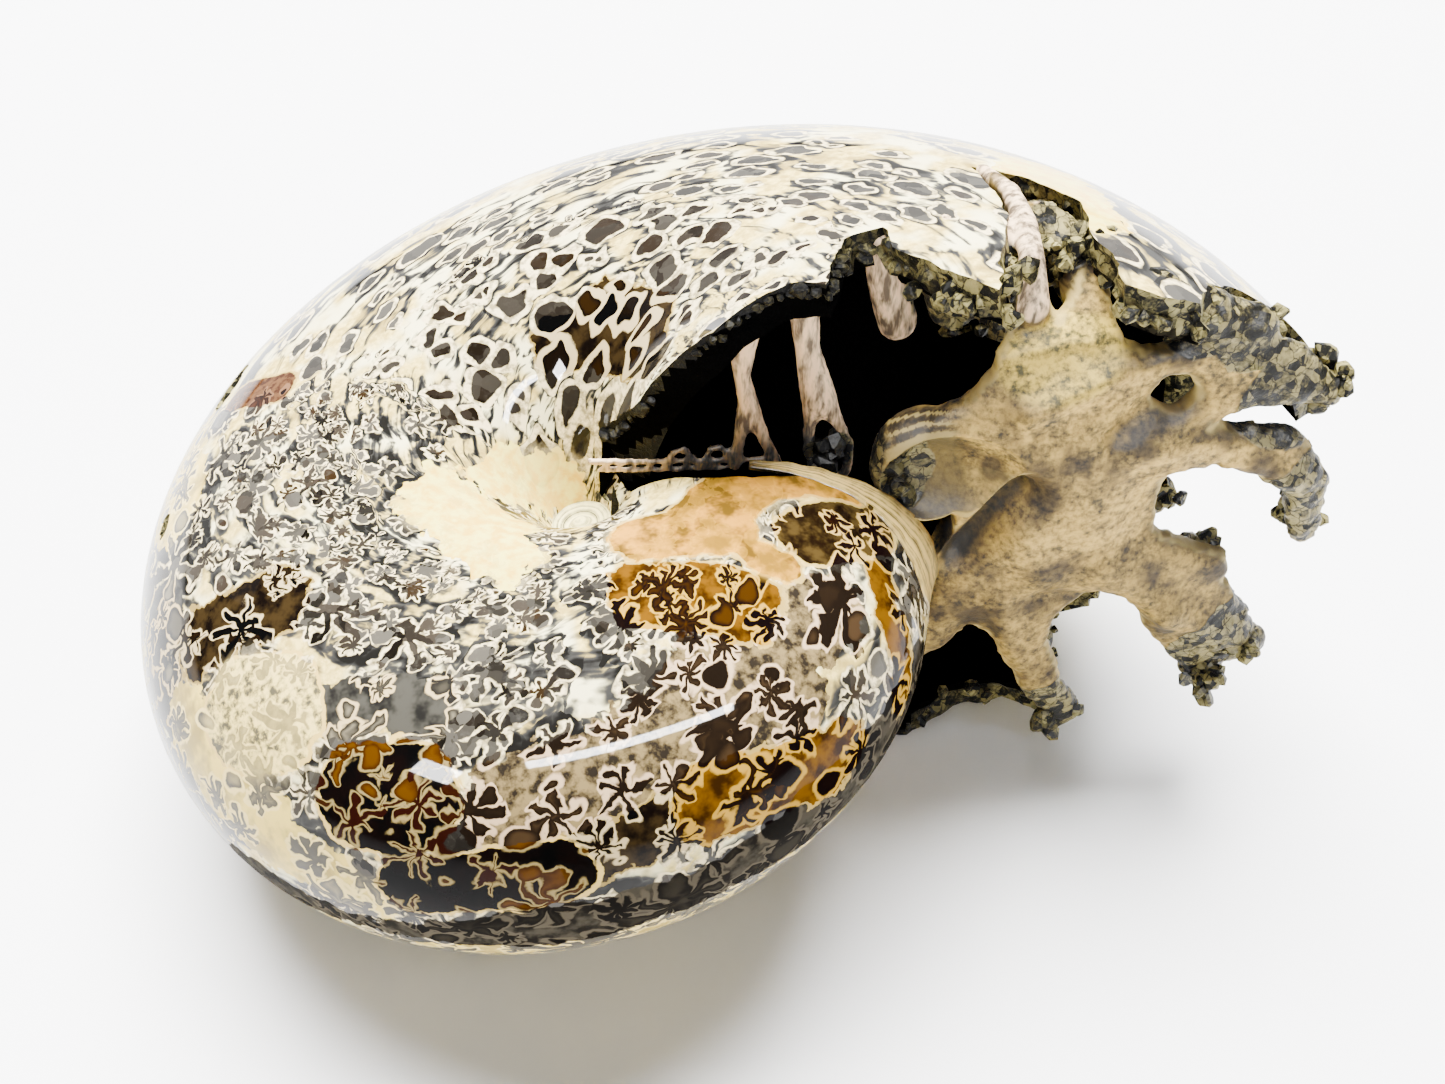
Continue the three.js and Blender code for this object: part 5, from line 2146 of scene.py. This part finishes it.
@dataclass
class Studio:
    """The floor, the lights and the camera, none of which are part of the object."""

    coil: Coil = COIL
    camera_turned_down: float = 43.625
    camera_roll: float = -17.064
    camera_distance: float = 155.25
    focal_pixels: float = 1608.72
    sight_x: float = 599.71
    sight_y: float = 584.78
    sensor: float = 36.0
    floor_size: float = 1.5
    air_light: float = 0.06
    lights: tuple[Softbox, ...] = (
        Softbox("overhead", 172.0, 70.0, (0.75, 0.58), 98.0, glints=False),
        Softbox("window", -56.0, 38.0, (0.15, 0.11), 42.0, fills=False),
        Softbox("strip", 5.0, 56.0, (0.8, 0.06), 92.0, fills=False),
        Softbox("backdrop", 180.0, 22.0, (2.4, 0.7), 8.0),
    )

    def camera(self) -> Object:
        """Places the camera where the photograph was taken from.

        Returns:
            The camera.
        """
        down = math.radians(self.camera_turned_down)
        roll = math.radians(self.camera_roll)
        side = Vector((1.0, 0.0, 0.0))
        back = Vector((0.0, -math.cos(down), math.sin(down)))
        up = Vector((0.0, math.sin(down), math.cos(down)))
        right = side * math.cos(roll) + up * math.sin(roll)
        top = up * math.cos(roll) - side * math.sin(roll)
        to_part = self.coil.to_part()
        turn = to_part.to_3x3() * (1.0 / MM)
        data = bpy.data.cameras.new("camera")
        data.sensor_width = self.sensor
        data.lens = self.focal_pixels / PHOTO_WIDTH * self.sensor
        data.shift_x = (PHOTO_WIDTH / 2.0 - self.sight_x) / PHOTO_WIDTH
        data.shift_y = (self.sight_y - PHOTO_HEIGHT / 2.0) / PHOTO_WIDTH
        made = bpy.data.objects.new("camera", data)
        bpy.context.scene.collection.objects.link(made)
        place = to_part @ (back * self.camera_distance)
        axes = Matrix((turn @ right, turn @ top, turn @ back)).transposed().to_4x4()
        made.matrix_world = Matrix.Translation(place) @ axes
        bpy.context.scene.camera = made
        return made

    def floor(self) -> Object:
        """Makes the plain pale floor.

        Returns:
            The floor.
        """
        shape = bmesh.new()
        bmesh.ops.create_grid(shape, x_segments=1, y_segments=1, size=self.floor_size)
        made = new_object("floor", shape)
        material = bpy.data.materials.new("floor paper")
        material.use_nodes = True
        shader = material.node_tree.nodes["Principled BSDF"]
        shader.inputs["Base Color"].default_value = (0.94, 0.94, 0.95, 1.0)
        shader.inputs["Roughness"].default_value = 0.7
        made.data.materials.append(material)
        return made

    def build(self) -> None:
        """Sets up the whole studio."""
        self.camera()
        self.floor()
        for light in self.lights:
            light.build()
        world = bpy.data.worlds.new("studio air")
        world.use_nodes = True
        air = world.node_tree.nodes["Background"]
        air.inputs["Color"].default_value = (1.0, 1.0, 1.0, 1.0)
        air.inputs["Strength"].default_value = self.air_light
        bpy.context.scene.world = world


def main() -> None:
    """Builds the studio and every piece, and reports each piece."""
    logging.basicConfig(level=logging.INFO, format="%(message)s")
    Studio().build()
    skin, stone = PolishedSkin(), BrokenStone()
    shell = PolishedShell()
    pieces = {
        shell.build(): (skin.material, stone.cavern, stone.crystal),
        LastPartition().build(): (stone.partition,),
        CrystalCrust().build(shell): (stone.crystal,),
        SeamLip().build(): (stone.lip,),
        NavelEye().build(): (stone.pearl,),
    }
    for piece, materials in pieces.items():
        for material in materials:
            piece.data.materials.append(material)
        to_part_frame(piece)
        dress(piece)
        LOG.info("%s: %d triangles", piece.name, triangles(piece))


if __name__ == "__main__":
    main()
